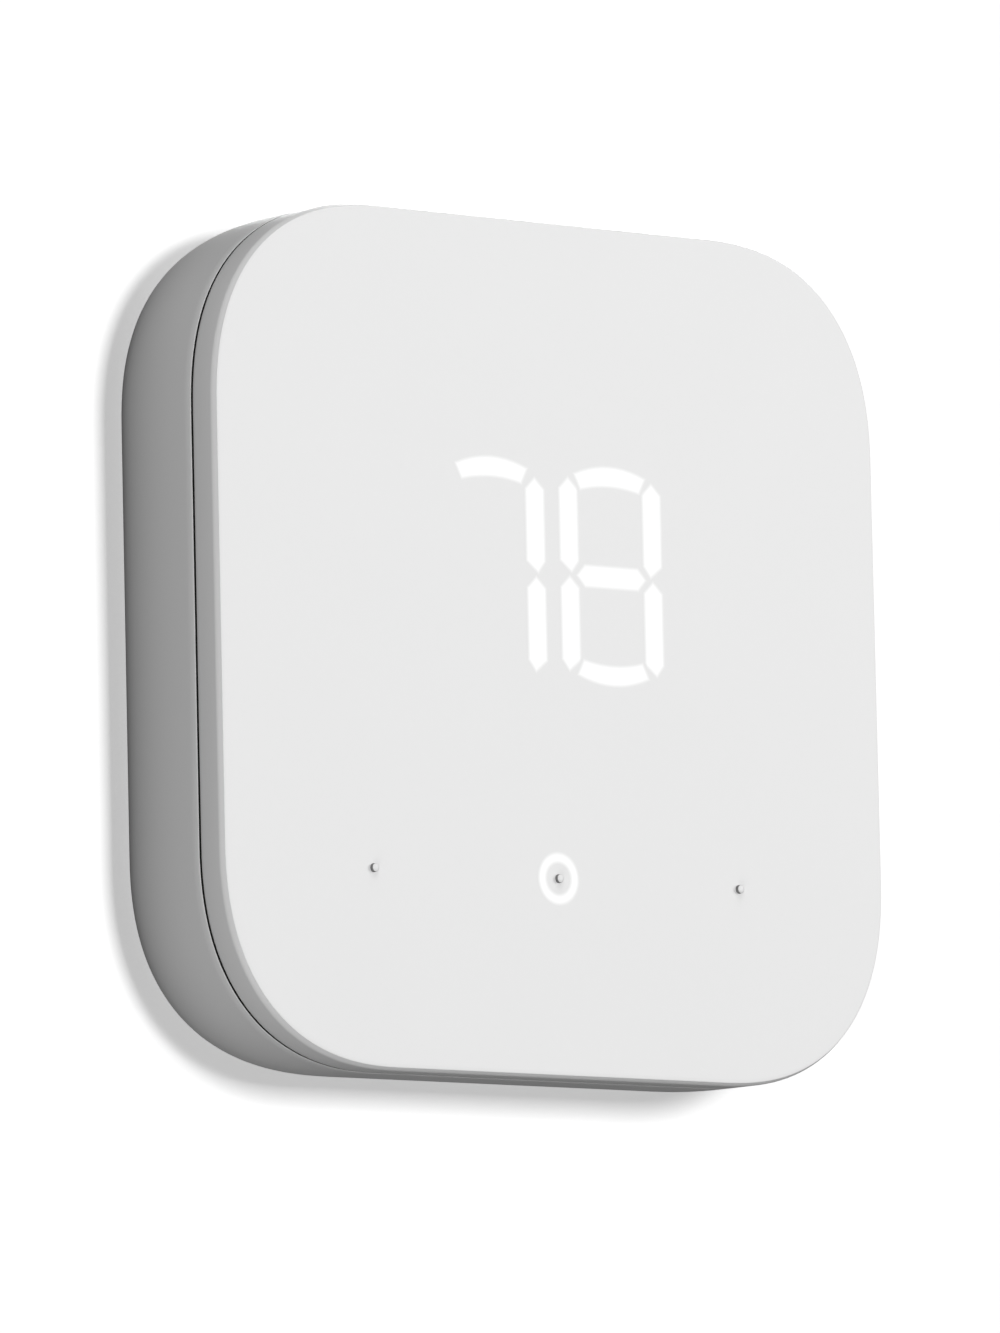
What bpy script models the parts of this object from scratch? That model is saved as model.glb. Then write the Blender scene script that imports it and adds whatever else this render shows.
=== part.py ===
"""A square wall thermostat: a display unit that pulls straight off a wall plate with eight wire terminals.

The wall is the plane y = 0 and the object hangs in front of it, towards -Y. +X is to the right seen from the
front, and +Z is up. The origin is the middle of the wall plate's back. A "depth" below is a distance from the wall.
"""

import math

import bmesh
import bpy
from mathutils import Matrix, Vector

MM = 0.001

# Gaps
gap = 0.3 * MM  # between pieces that touch
fit = 0.4 * MM  # round a piece that drops into another

# Display unit, seen from the front
width = 90.4 * MM
height = 90.4 * MM
corner_radius = 22.9 * MM
corner_power = 2.36  # 2 is a circular arc, more is a fuller corner
corner_steps = 12
edge_radius = 0.55 * MM
dot_radius = 0.55 * MM  # raised dots that mark the touch keys
dot_height = 0.45 * MM
dot_inset = 20.2 * MM  # outer dots, in from the sides
key_height = 20.9 * MM  # row of touch keys, up from the bottom edge

# Depth stack, from the wall to the face
case_standoff = 0.8 * MM
plate_relief = 1.0 * MM  # hollow behind the middle of the wall plate
plate_thickness = 3.0 * MM
block_height = 5.3 * MM
lever_proud = 0.5 * MM
floor_thickness = 1.4 * MM
standoff_height = 0.5 * MM
relay_board_thickness = 1.2 * MM
board_space = 2.1 * MM
display_board_thickness = 1.0 * MM
light_box_depth = 2.1 * MM
film_thickness = 0.2 * MM
face_thickness = 2.0 * MM
window_skin = 0.8 * MM

# Shells
shell_wall = 1.8 * MM
skirt_depth = 3.6 * MM  # front cover's side, from the face to the seam
seam_gap = 0.35 * MM
seam_chamfer = 0.15 * MM
tongue_depth = 1.9 * MM
tongue_wall = 1.2 * MM
case_taper = 5.1 * MM  # how far the case draws in towards the wall
taper_power = 3.2  # 2 is a quarter ellipse, more keeps the side straight for longer
taper_fullness = 0.98  # share of that quarter that the taper follows
taper_steps = 9
case_lip = 1.6 * MM
recess_wall = 1.3 * MM
recess_clearance = 0.6 * MM

# Vents, in the top and the bottom of the case
vent_count = 9
vent_pitch = 3.4 * MM
vent_width = 1.4 * MM
vent_near = 3.6 * MM
vent_far = 7.6 * MM

# Wall plate
plate_corner = 8.0 * MM
plate_rim = 2.6 * MM
bay_width = 18.0 * MM
bay_height = 28.0 * MM
bay_corner = 3.0 * MM
slot_inset = 9.0 * MM  # wall screws, in from the plate's top and bottom
slot_length = 7.0 * MM
wall_screw_radius = 2.1 * MM
wall_screw_head_radius = 3.7 * MM
wall_screw_head_height = 2.2 * MM
wall_screw_length = 24.0 * MM
anchor_radius = 3.1 * MM
anchor_length = 25.0 * MM

# Terminals
terminals_per_side = 4
terminal_pitch = 6.0 * MM
cell_wall = 1.0 * MM
block_width = 15.0 * MM
block_end = 2.0 * MM
block_roof = 0.8 * MM
block_floor = 0.6 * MM
chamber_width = 8.0 * MM
entry_radius = 1.2 * MM
lever_size = 4.0 * MM
lever_travel = 1.4 * MM
contact_metal = 0.5 * MM
contact_width = 3.0 * MM
contact_headroom = 0.5 * MM  # between a contact and its chamber's roof
pin_side = 0.8 * MM
pin_inset = 3.5 * MM  # pins, in from a block's inner side
pin_headroom = 0.8 * MM  # between a pin's tip and the contact's floor
header_width = 3.2 * MM

# Display
digit_pitch = 16.1 * MM
digit_drop = 37.15 * MM  # middle of the digits, below the top edge
column_spread = 11.5 * MM
row_spread = 10.15 * MM
stroke = 2.4 * MM
bar_stroke = 2.2 * MM
upright_length = 9.9 * MM
bar_length = 9.4 * MM
bow_length = 10.0 * MM
bow_rise = 0.95 * MM
bow_steps = 6
box_margin = 1.2 * MM
ring_outer_radius = 2.75 * MM
ring_inner_radius = 1.68 * MM
guide_flange = 0.7 * MM

# Boards and what is on them
board_margin = 0.8 * MM
relay_length = 10.0 * MM
relay_width = 6.4 * MM
relay_height = 4.8 * MM
relay_pitch = 12.0 * MM
relay_count = 4
capacitor_radius = 3.15 * MM
capacitor_length = 11.0 * MM
sensor_side = 3.0 * MM
sensor_height = 1.0 * MM
module_width = 14.0 * MM
module_height = 18.0 * MM
module_inset = 11.0 * MM
chip_side = 8.0 * MM
chip_height = 0.9 * MM
lamp_side = 1.0 * MM
lamp_height = 0.6 * MM
connector_length = 22.0 * MM
connector_width = 4.0 * MM
spring_radius = 1.5 * MM
mode_spring_radius = 1.0 * MM
spring_wire = 0.2 * MM
spring_turns = 3

# Fasteners inside
case_screw_radius = 1.1 * MM
case_screw_head_radius = 2.2 * MM
case_screw_head_height = 1.5 * MM
case_screw_inset = 3.8 * MM  # in from the plate's edges
case_screw_bite = 4.2 * MM
boss_wall = 1.0 * MM
board_screw_radius = 0.8 * MM
board_screw_head_radius = 1.6 * MM
board_screw_head_height = 1.2 * MM
board_screw_inset = 11.2 * MM

# Depths that follow from the stack
block_back = plate_thickness + gap
block_front = block_back + block_height
lever_front = block_front + lever_proud
floor_back = lever_front + gap
floor_front = floor_back + floor_thickness
relay_board_back = floor_front + standoff_height + gap
relay_board_front = relay_board_back + relay_board_thickness
display_board_back = relay_board_front + board_space
display_board_front = display_board_back + display_board_thickness
light_box_back = display_board_front + gap
light_box_front = light_box_back + light_box_depth
film_back = light_box_front + gap
film_front = film_back + film_thickness
face_back = film_front + gap
depth = face_back + face_thickness
cover_back = depth - skirt_depth
case_front = cover_back - seam_gap


def taper_at(distance):
    """How far the case's outline has drawn in at this depth."""
    along = (case_front - distance) / (case_front - case_standoff)
    along = min(max(along, 0.0), 1.0)
    drawn, full = (
        1.0 - (1.0 - share**taper_power) ** (1 / taper_power)
        for share in (along * taper_fullness, taper_fullness)
    )
    return case_taper * drawn / full


def outline_drop(x):
    """How far the rounded top of the outline has fallen at this distance from the middle."""
    along = (x - width / 2 + corner_radius) / corner_radius
    along = min(max(along, 0.0), 1.0)
    return corner_radius * (1.0 - (1.0 - along**corner_power) ** (1 / corner_power))


# Widths that follow from what has to fit
relay_back = relay_board_back - gap - relay_height
relay_row = (relay_count - 1) * relay_pitch + relay_length
relay_space = relay_width + 2 * fit + outline_drop(relay_row / 2 + shell_wall)
capacitor_space = 2 * capacitor_radius + 2 * fit
case_inset = shell_wall + taper_at(relay_back) + recess_wall + recess_clearance
plate_width = width - 2 * (case_inset + capacitor_space)
plate_height = height - 2 * (case_inset + relay_space)
recess_width = plate_width + 2 * recess_clearance
recess_height = plate_height + 2 * recess_clearance
recess_corner = plate_corner + recess_clearance
case_screw_x = plate_width / 2 - case_screw_inset
case_screw_z = plate_height / 2 - case_screw_inset
board_screw_x = width / 2 - board_screw_inset
key_z = key_height - height / 2
digit_z = height / 2 - digit_drop
dot_x = width / 2 - dot_inset
slot_z = plate_height / 2 - slot_inset
block_inner = bay_width / 2 + cell_wall
block_middle = block_inner + block_width / 2
block_half_height = (terminals_per_side * terminal_pitch - cell_wall) / 2 + block_end
pin_x = block_inner + pin_inset
lever_x = block_inner + block_width - cell_wall - fit - lever_size / 2
cell_half = (terminal_pitch - cell_wall) / 2
boss_radius = case_screw_radius + gap + boss_wall


def terminal_heights():
    middle = (terminals_per_side - 1) / 2
    return [(middle - index) * terminal_pitch for index in range(terminals_per_side)]


# Materials


def material(name, colour, roughness, metallic=0.0):
    made = bpy.data.materials.new(name)
    made.use_nodes = True
    shader = made.node_tree.nodes["Principled BSDF"]
    shader.inputs["Base Color"].default_value = (*colour, 1.0)
    shader.inputs["Roughness"].default_value = roughness
    shader.inputs["Metallic"].default_value = metallic
    made.diffuse_color = (*colour, 1.0)
    return made


def shell_plastic():
    return material("shell_plastic", (0.80, 0.80, 0.80), 0.42)


def plate_plastic():
    return material("plate_plastic", (0.72, 0.73, 0.74), 0.5)


def terminal_plastic():
    return material("terminal_plastic", (0.10, 0.11, 0.12), 0.5)


def lever_plastic():
    return material("lever_plastic", (0.62, 0.64, 0.66), 0.45)


def black_plastic():
    return material("black_plastic", (0.03, 0.03, 0.035), 0.45)


def relay_plastic():
    return material("relay_plastic", (0.05, 0.09, 0.16), 0.4)


def circuit_board():
    return material("circuit_board", (0.03, 0.16, 0.09), 0.5)


def light_box_plastic():
    return material("light_box_plastic", (0.75, 0.75, 0.73), 0.55)


def clear_film():
    return material("diffuser_film", (0.85, 0.86, 0.86), 0.3)


def guide_plastic():
    return material("guide_plastic", (0.82, 0.84, 0.85), 0.15)


def spring_steel():
    return material("spring_steel", (0.70, 0.70, 0.71), 0.3, 1.0)


def tinned_metal():
    return material("tinned_metal", (0.66, 0.66, 0.64), 0.35, 1.0)


def contact_metal_finish():
    return material("contact_bronze", (0.72, 0.52, 0.30), 0.35, 1.0)


def screw_steel():
    return material("screw_steel", (0.55, 0.56, 0.58), 0.38, 1.0)


def anchor_plastic():
    return material("anchor_nylon", (0.62, 0.62, 0.58), 0.55)


# Shapes: each is a bmesh with outward faces


def loft(loops):
    """Closed body through loops with the same number of points, with a flat cap on the first and the last."""
    shape = bmesh.new()
    rings = [[shape.verts.new(point) for point in loop] for loop in loops]
    count = len(rings[0])
    for first, second in zip(rings, rings[1:]):
        for index in range(count):
            after = (index + 1) % count
            shape.faces.new((first[index], first[after], second[after], second[index]))
    shape.faces.new(rings[0])
    shape.faces.new(rings[-1])
    bmesh.ops.recalc_face_normals(shape, faces=shape.faces)
    return shape


def at_depth(outline, distance):
    return [(x, -distance, z) for x, z in outline]


def prism(outline, near, far):
    """The outline, pushed from one depth to another."""
    return loft([at_depth(outline, near), at_depth(outline, far)])


def soft_rectangle(across, up, radius, power=2.0, steps=corner_steps):
    """Points of a rectangle centred on the origin with rounded corners, anticlockwise from the front."""
    half_x = across / 2
    half_z = up / 2
    turn = math.pi / 2
    corner = []
    for step in range(steps + 1):
        cos = math.cos(turn * step / steps)
        sin = math.sin(turn * step / steps)
        corner.append((abs(cos) ** (2 / power), abs(sin) ** (2 / power)))
    points = []
    for sign_x, sign_z in ((1, 1), (-1, 1), (-1, -1), (1, -1)):
        quarter = corner if sign_x == sign_z else corner[::-1]
        for cos, sin in quarter:
            x = half_x - radius + radius * cos
            z = half_z - radius + radius * sin
            points.append((sign_x * x, sign_z * z))
    return points


def case_outline(inset):
    """The object's outline, drawn in by this much."""
    return soft_rectangle(
        width - 2 * inset, height - 2 * inset, corner_radius - inset, corner_power
    )


def circle(radius, sides, x=0.0, z=0.0):
    turn = 2 * math.pi / sides
    return [
        (x + radius * math.cos(turn * side), z + radius * math.sin(turn * side))
        for side in range(sides)
    ]


def box(low_x, high_x, near, far, low_z, high_z):
    outline = [(low_x, low_z), (high_x, low_z), (high_x, high_z), (low_x, high_z)]
    return prism(outline, near, far)


def block_at(x, z, across, up, near, far):
    return box(x - across / 2, x + across / 2, near, far, z - up / 2, z + up / 2)


def rod(radius, sides, near, far, x=0.0, z=0.0):
    return prism(circle(radius, sides, x, z), near, far)


def turned(profile, sides, x=0.0, z=0.0):
    """A round body about a line along Y, from (depth, radius) pairs."""
    return loft([at_depth(circle(radius, sides, x, z), distance) for distance, radius in profile])


def gather(shapes):
    """Several separate shapes as one."""
    whole = bmesh.new()
    for shape in shapes:
        mesh = bpy.data.meshes.new("gathered")
        shape.to_mesh(mesh)
        shape.free()
        whole.from_mesh(mesh)
        bpy.data.meshes.remove(mesh)
    return whole


def to_object(name, shape):
    mesh = bpy.data.meshes.new(name)
    shape.to_mesh(mesh)
    shape.free()
    made = bpy.data.objects.new(name, mesh)
    bpy.context.scene.collection.objects.link(made)
    return made


def combine(body, shapes, operation):
    tool = to_object("tool", gather(shapes))
    modifier = body.modifiers.new("combine", "BOOLEAN")
    modifier.operation = operation
    modifier.solver = "EXACT"
    modifier.use_self = operation == "UNION"
    modifier.object = tool
    graph = bpy.context.evaluated_depsgraph_get()
    mesh = bpy.data.meshes.new_from_object(body.evaluated_get(graph))
    before = body.data
    body.modifiers.clear()
    body.data = mesh
    bpy.data.meshes.remove(before)
    spent = tool.data
    bpy.data.objects.remove(tool)
    bpy.data.meshes.remove(spent)


def cut(body, shapes):
    combine(body, shapes, "DIFFERENCE")


def join(body, shapes):
    combine(body, shapes, "UNION")


def finish(made, look, parent, place=(0.0, 0.0, 0.0)):
    """Gives a body its material, smooth shading, parent and origin. place is in world coordinates."""
    made.data.materials.clear()
    made.data.materials.append(look)
    made.data.shade_smooth()
    made.data.set_sharp_from_angle(angle=math.radians(35))
    if Vector(place).length > 0:
        made.data.transform(Matrix.Translation(-Vector(place)))
    made.location = Vector(place) - (parent.location if parent else Vector())
    made.parent = parent
    return made


def copy_of(original, name, offset, half_turn=False):
    """Another object with the same mesh, moved along, and turned about Y when it faces the other way."""
    made = bpy.data.objects.new(name, original.data)
    bpy.context.scene.collection.objects.link(made)
    made.parent = original.parent
    made.location = original.location
    if half_turn:
        made.location = Matrix.Rotation(math.pi, 3, "Y") @ made.location
        made.rotation_euler = (0.0, math.pi, 0.0)
    made.location += Vector(offset)
    return made


# Display segments


def mitred_bar(length, thickness, upright=False):
    """A bar whose ends come to a point."""
    along = length / 2
    across = thickness / 2
    shoulder = along - across
    points = [
        (-along, 0.0),
        (-shoulder, -across),
        (shoulder, -across),
        (along, 0.0),
        (shoulder, across),
        (-shoulder, across),
    ]
    return [(-z, x) for x, z in points] if upright else points


def bowed_bar(side):
    """The top bar (side 1) or the bottom one (-1): bowed outwards, with its outer corners the widest."""
    outer = []
    inner = []
    inner_length = bow_length - bar_stroke
    for step in range(bow_steps + 1):
        along = 2 * step / bow_steps - 1
        bow = 1 - along**2
        outer.append((along * bow_length / 2, side * bow_rise * (bow - 0.5)))
        inner_rise = bow_rise * (inner_length / bow_length) ** 2
        middle = bow_rise / 2 - bar_stroke
        inner.append((along * inner_length / 2, side * (middle - inner_rise * (1 - bow))))
    points = outer + inner[::-1]
    return points if side < 0 else points[::-1]


def digit_segments(x):
    """Outlines of one digit's seven segments."""
    column = column_spread / 2
    upright = mitred_bar(upright_length, stroke, upright=True)
    placed = [(mitred_bar(bar_length, bar_stroke), x, digit_z)]
    for side in (1, -1):
        reach = row_spread + bar_stroke / 2 - bow_rise / 2
        placed.append((bowed_bar(side), x, digit_z + side * reach))
        for across in (-column, column):
            placed.append((upright, x + across, digit_z + side * row_spread / 2))
    return [[(u + dx, v + dz) for u, v in outline] for outline, dx, dz in placed]


def all_segments():
    return digit_segments(-digit_pitch / 2) + digit_segments(digit_pitch / 2)


def key_points():
    return {"down": -dot_x, "mode": 0.0, "up": dot_x}


def case_screw_places():
    return [(x * case_screw_x, z * case_screw_z) for x in (-1, 1) for z in (-1, 1)]


# Display unit


def front_cover(unit, look):
    """Face and side in one piece, with a tongue that drops into the case and thinned windows for the digits."""
    loops = [at_depth(case_outline(shell_wall + fit), cover_back - tongue_depth)]
    loops.append(at_depth(case_outline(shell_wall + fit), cover_back))
    loops.append(at_depth(case_outline(seam_chamfer), cover_back))
    loops.append(at_depth(case_outline(0.0), cover_back + seam_chamfer))
    round_steps = 4
    for step in range(round_steps + 1):
        angle = math.pi / 2 * step / round_steps
        inset = edge_radius * (1 - math.cos(angle))
        rise = edge_radius * (1 - math.sin(angle))
        loops.append(at_depth(case_outline(inset), depth - rise))
    inside = shell_wall + fit + tongue_wall
    back = [at_depth(case_outline(inside), distance) for distance in (face_back, cover_back - tongue_depth)]
    cover = to_object("front_cover", loft(back + loops))
    bosses = []
    for x, z in case_screw_places():
        bosses.append(rod(boss_radius, 16, relay_board_front + gap, face_back + gap, x, z))
    for x in (-board_screw_x, board_screw_x):
        bosses.append(rod(board_screw_radius + gap + boss_wall, 16, light_box_back, face_back + gap, x))
    join(cover, bosses)
    cuts = []
    for x, z in case_screw_places():
        top = relay_board_front + gap + case_screw_bite + gap
        cuts.append(rod(case_screw_radius + gap, 12, 0.0, top, x, z))
    for x in (-board_screw_x, board_screw_x):
        cuts.append(rod(board_screw_radius + gap, 12, light_box_back - gap, face_back, x))
    for outline in all_segments():
        cuts.append(prism(outline, face_back - gap, depth - window_skin))
    cut(cover, cuts)
    ring = to_object("ring", rod(ring_outer_radius, 24, face_back - gap, depth - window_skin, 0.0, key_z))
    cut(ring, [rod(ring_inner_radius, 24, 0.0, depth, 0.0, key_z)])
    pocket = bmesh.new()
    pocket.from_mesh(ring.data)
    spent = ring.data
    bpy.data.objects.remove(ring)
    bpy.data.meshes.remove(spent)
    cut(cover, [pocket])
    dots = []
    for x in key_points().values():
        profile = [(depth - window_skin / 2, dot_radius), (depth, dot_radius)]
        profile.append((depth + dot_height * 0.6, dot_radius * 0.8))
        profile.append((depth + dot_height * 0.9, dot_radius * 0.45))
        profile.append((depth + dot_height, dot_radius * 0.1))
        dots.append(turned(profile, 12, x, key_z))
    join(cover, dots)
    return finish(cover, look, unit)


def rear_case(unit, look):
    """Tapering shell with a recess in its back that hides the wall plate."""
    inside = [at_depth(soft_rectangle(*grown_recess(recess_wall)), floor_front)]
    inside.append(at_depth(soft_rectangle(*grown_recess(recess_wall)), case_standoff + case_lip))
    outside = []
    for step in range(taper_steps + 1):
        share = math.sin(math.pi / 2 * step / taper_steps)
        distance = case_front - (case_front - case_standoff) * share
        if distance > case_standoff + case_lip + gap:
            inside.insert(2, at_depth(case_outline(shell_wall + taper_at(distance)), distance))
        if step:
            outside.append(at_depth(case_outline(taper_at(distance)), distance))
    floor_ring = shell_wall + taper_at(case_standoff + case_lip)
    inside.insert(2, at_depth(case_outline(floor_ring), case_standoff + case_lip))
    loops = inside
    loops.append(at_depth(case_outline(seam_chamfer), case_front))
    loops.append(at_depth(case_outline(0.0), case_front - seam_chamfer))
    loops += [loop for loop in outside if -loop[0][1] < case_front - 2 * seam_chamfer]
    loops.append(at_depth(soft_rectangle(*grown_recess(0.0)), case_standoff))
    loops.append(at_depth(soft_rectangle(*grown_recess(0.0)), floor_back))
    case = to_object("rear_case", loft(loops))
    posts = []
    for x, z in case_screw_places():
        posts.append(rod(boss_radius, 16, floor_front - gap, relay_board_back - gap, x, z))
    join(case, posts)
    cuts = []
    for x, z in case_screw_places():
        cuts.append(rod(case_screw_radius + gap, 12, floor_back - gap, relay_board_back, x, z))
    header_up = header_length() + 2 * fit
    for x in (-pin_x, pin_x):
        cuts.append(block_at(x, 0.0, header_width + 2 * fit, header_up, floor_back - gap, floor_front + gap))
    for index in range(vent_count):
        x = (index - (vent_count - 1) / 2) * vent_pitch
        for side in (-1, 1):
            reach = height / 2 - shell_wall - case_taper
            z = side * (reach + height / 2) / 2
            cuts.append(block_at(x, z, vent_width, height / 2 - reach, vent_near, vent_far))
    cut(case, cuts)
    return finish(case, look, unit)


def grown_recess(wall):
    return recess_width + 2 * wall, recess_height + 2 * wall, recess_corner + wall


def header_length():
    return (terminals_per_side - 1) * terminal_pitch + header_width


def light_box(unit, look):
    """Reflector with one shaft for each segment."""
    low, high = light_box_limits()
    frame = to_object("segment_light_box", box(-low, low, light_box_back, light_box_front, *high))
    cut(frame, [prism(outline, light_box_back - gap, light_box_front + gap) for outline in all_segments()])
    return finish(frame, look, unit)


def light_box_limits():
    half = digit_pitch / 2 + column_spread / 2 + stroke / 2 + box_margin
    reach = row_spread + bar_stroke / 2 + bow_rise / 2 + box_margin
    return half, (digit_z - reach, digit_z + reach)


def segment_diffuser(unit, look):
    half, (low, high) = light_box_limits()
    outline = soft_rectangle(2 * (half - gap), high - low - 2 * gap, box_margin, steps=3)
    outline = [(x, z + (low + high) / 2) for x, z in outline]
    film = to_object("segment_diffuser", prism(outline, film_back, film_front))
    return finish(film, look, unit)


def mode_light_guide(unit, look):
    """Clear sleeve that carries light up to the ring round the middle key."""
    outer = ring_outer_radius - gap
    foot = outer + guide_flange
    profile = [(light_box_back, foot), (light_box_back + guide_flange, foot)]
    profile += [(light_box_back + guide_flange, outer), (depth - window_skin - gap, outer)]
    guide = to_object("mode_light_guide", turned(profile, 24, 0.0, key_z))
    cut(guide, [rod(ring_inner_radius + gap, 24, 0.0, depth, 0.0, key_z)])
    return finish(guide, look, unit)


def touch_spring(unit, look, name, x, radius):
    """Coil that joins a touch key's place on the face to the display board."""
    curve = bpy.data.curves.new(name, "CURVE")
    curve.dimensions = "3D"
    curve.bevel_depth = spring_wire
    curve.bevel_resolution = 1
    curve.use_fill_caps = True
    coil = curve.splines.new("POLY")
    per_turn = 10
    count = spring_turns * per_turn + 1
    coil.points.add(count - 1)
    near = light_box_back + spring_wire
    far = face_back - gap - spring_wire
    for index in range(count):
        angle = 2 * math.pi * index / per_turn
        distance = near + (far - near) * index / (count - 1)
        place = (radius * math.cos(angle), -distance, radius * math.sin(angle), 1.0)
        coil.points[index].co = place
    curve.materials.append(look)
    made = bpy.data.objects.new(name, curve)
    bpy.context.scene.collection.objects.link(made)
    made.parent = unit
    made.location = (x, 0.0, key_z)
    return made


def display_board(unit, look):
    """Circuit board with its soldered lamps: two under each segment row and one ring of them for the mode light."""
    inset = shell_wall + fit + tongue_wall + board_margin
    board = to_object(
        "display_board", prism(case_outline(inset), display_board_back, display_board_front)
    )
    lamps = []
    for outline in all_segments():
        x = sum(point[0] for point in outline) / len(outline)
        z = sum(point[1] for point in outline) / len(outline)
        top = display_board_front + lamp_height
        lamps.append(block_at(x, z, lamp_side, lamp_side, display_board_front - gap, top))
    join(board, lamps)
    cuts = []
    for x, z in case_screw_places():
        cuts.append(rod(boss_radius + gap, 16, 0.0, depth, x, z))
    for x in (-board_screw_x, board_screw_x):
        cuts.append(rod(board_screw_radius + gap, 12, 0.0, depth, x))
    cut(board, cuts)
    return finish(board, look, unit)


def relay_board(unit, look):
    """Circuit board clamped between the case and the front cover's bosses."""
    inset = shell_wall + taper_at(relay_board_back) + board_margin
    board = to_object(
        "relay_board", prism(case_outline(inset), relay_board_back, relay_board_front)
    )
    cuts = []
    for x, z in case_screw_places():
        cuts.append(rod(case_screw_radius + gap, 12, 0.0, depth, x, z))
    for x in (-pin_x, pin_x):
        for z in terminal_heights():
            side = pin_side + 2 * gap
            cuts.append(block_at(x, z, side, side, 0.0, depth))
    cut(board, cuts)
    return finish(board, look, unit)


def relays(unit, look):
    """A row of relays between the recess and the case's top."""
    z = recess_height / 2 + recess_wall + fit + relay_width / 2
    corner = 0.5 * MM
    outline = soft_rectangle(relay_length, relay_width, corner, steps=2)
    first = (-(relay_count - 1) / 2 * relay_pitch, -relay_back, z)
    shape = loft([at_depth([(x + first[0], v + z) for x, v in outline], depth_now)
                  for depth_now in (relay_back, relay_board_back - gap)])
    made = [finish(to_object("relay_1", shape), look, unit, first)]
    for index in range(1, relay_count):
        made.append(copy_of(made[0], f"relay_{index + 1}", (index * relay_pitch, 0.0, 0.0)))
    return made


def backup_capacitor(unit, look):
    """Drum that lies along the case's right side."""
    x = recess_width / 2 + recess_wall + fit + capacitor_radius
    middle = relay_board_back - gap - capacitor_radius
    drum = bmesh.new()
    bmesh.ops.create_cone(
        drum, cap_ends=True, segments=20, radius1=capacitor_radius, radius2=capacitor_radius, depth=capacitor_length
    )
    bmesh.ops.translate(drum, vec=(x, -middle, 0.0), verts=drum.verts)
    return finish(to_object("backup_capacitor", drum), look, unit, (x, -middle, 0.0))


def climate_sensor(unit, look):
    """Temperature and humidity chip over the bottom vents."""
    z = -(recess_height / 2 + recess_wall + fit + sensor_side / 2 + fit)
    back = relay_board_back - gap - sensor_height
    chip = block_at(0.0, z, sensor_side, sensor_side, back, relay_board_back - gap)
    return finish(to_object("climate_sensor", chip), look, unit)


def radio_module(unit, look):
    x = pin_x + pin_side + gap + module_width / 2
    back = relay_board_front + gap
    can = block_at(x, key_z + module_inset, module_width, module_height, back, display_board_back - gap)
    return finish(to_object("radio_module", can), look, unit)


def controller_chip(unit, look):
    back = display_board_back - gap - chip_height
    x = -(pin_x + pin_side + gap + chip_side / 2)
    chip = block_at(x, key_z + module_inset, chip_side, chip_side, back, display_board_back - gap)
    return finish(to_object("controller_chip", chip), look, unit)


def board_connector(unit, look):
    """Link between the two boards."""
    back = relay_board_front + gap
    bar = block_at(0.0, digit_z, connector_width, connector_length, back, display_board_back - gap)
    return finish(to_object("board_connector", bar), look, unit)


def pin_headers(unit, plastic, metal):
    """On each side, a plastic bar through the case's floor and its pins, which reach into the terminals."""
    back = block_front + gap
    front = relay_board_back - gap
    for side, name in ((-1, "left"), (1, "right")):
        x = side * pin_x
        bar = to_object(f"pin_header_{name}", block_at(x, 0.0, header_width, header_length(), back, front))
        hole = pin_side + 2 * gap
        cut(bar, [block_at(x, z, hole, hole, back - gap, front + gap) for z in terminal_heights()])
        finish(bar, plastic, unit)
        for index, z in enumerate(terminal_heights()):
            tip = block_back + block_floor + contact_metal + pin_headroom
            pin = block_at(x, z, pin_side, pin_side, tip, relay_board_front + gap)
            finish(to_object(f"header_pin_{name}_{index + 1}", pin), metal, unit)


def screw(name, look, parent, x, z, head, shank, seat, direction):
    """Pan-head screw along Y. head and shank are (radius, length); seat is the depth under the head."""
    head_radius, head_length = head
    shank_radius, shank_length = shank
    profile = [(seat + direction * shank_length, shank_radius * 0.5)]
    profile.append((seat + direction * (shank_length - shank_radius), shank_radius))
    profile.append((seat, shank_radius))
    profile.append((seat, head_radius))
    profile.append((seat - direction * head_length * 0.5, head_radius))
    profile.append((seat - direction * head_length, head_radius * 0.7))
    made = to_object(name, turned(profile, 16, x, z))
    arm = head_radius * 0.28
    reach = head_radius * 1.1
    top = seat - direction * (head_length + gap)
    base = seat - direction * head_length * 0.45
    cross = to_object("cross", block_at(x, z, reach, arm, base, top))
    join(cross, [block_at(x, z, arm, reach, base, top)])
    driver = bmesh.new()
    driver.from_mesh(cross.data)
    bpy.data.objects.remove(cross)
    cut(made, [driver])
    return finish(made, look, parent, (x, -seat, z))


def case_screws(unit, look):
    """Four screws that hold the case to the front cover, put in from the recess."""
    seat = floor_back - gap
    length = relay_board_front + gap + case_screw_bite - seat
    head = (case_screw_head_radius, case_screw_head_height)
    for index, (x, z) in enumerate(case_screw_places()):
        screw(f"case_screw_{index + 1}", look, unit, x, z, head, (case_screw_radius, length), seat, 1)


def board_screws(unit, look):
    seat = display_board_back - gap
    length = face_back - gap - seat - gap
    head = (board_screw_head_radius, board_screw_head_height)
    for name, x in (("left", -board_screw_x), ("right", board_screw_x)):
        screw(f"board_screw_{name}", look, unit, x, 0.0, head, (board_screw_radius, length), seat, 1)


# Wall side


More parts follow.
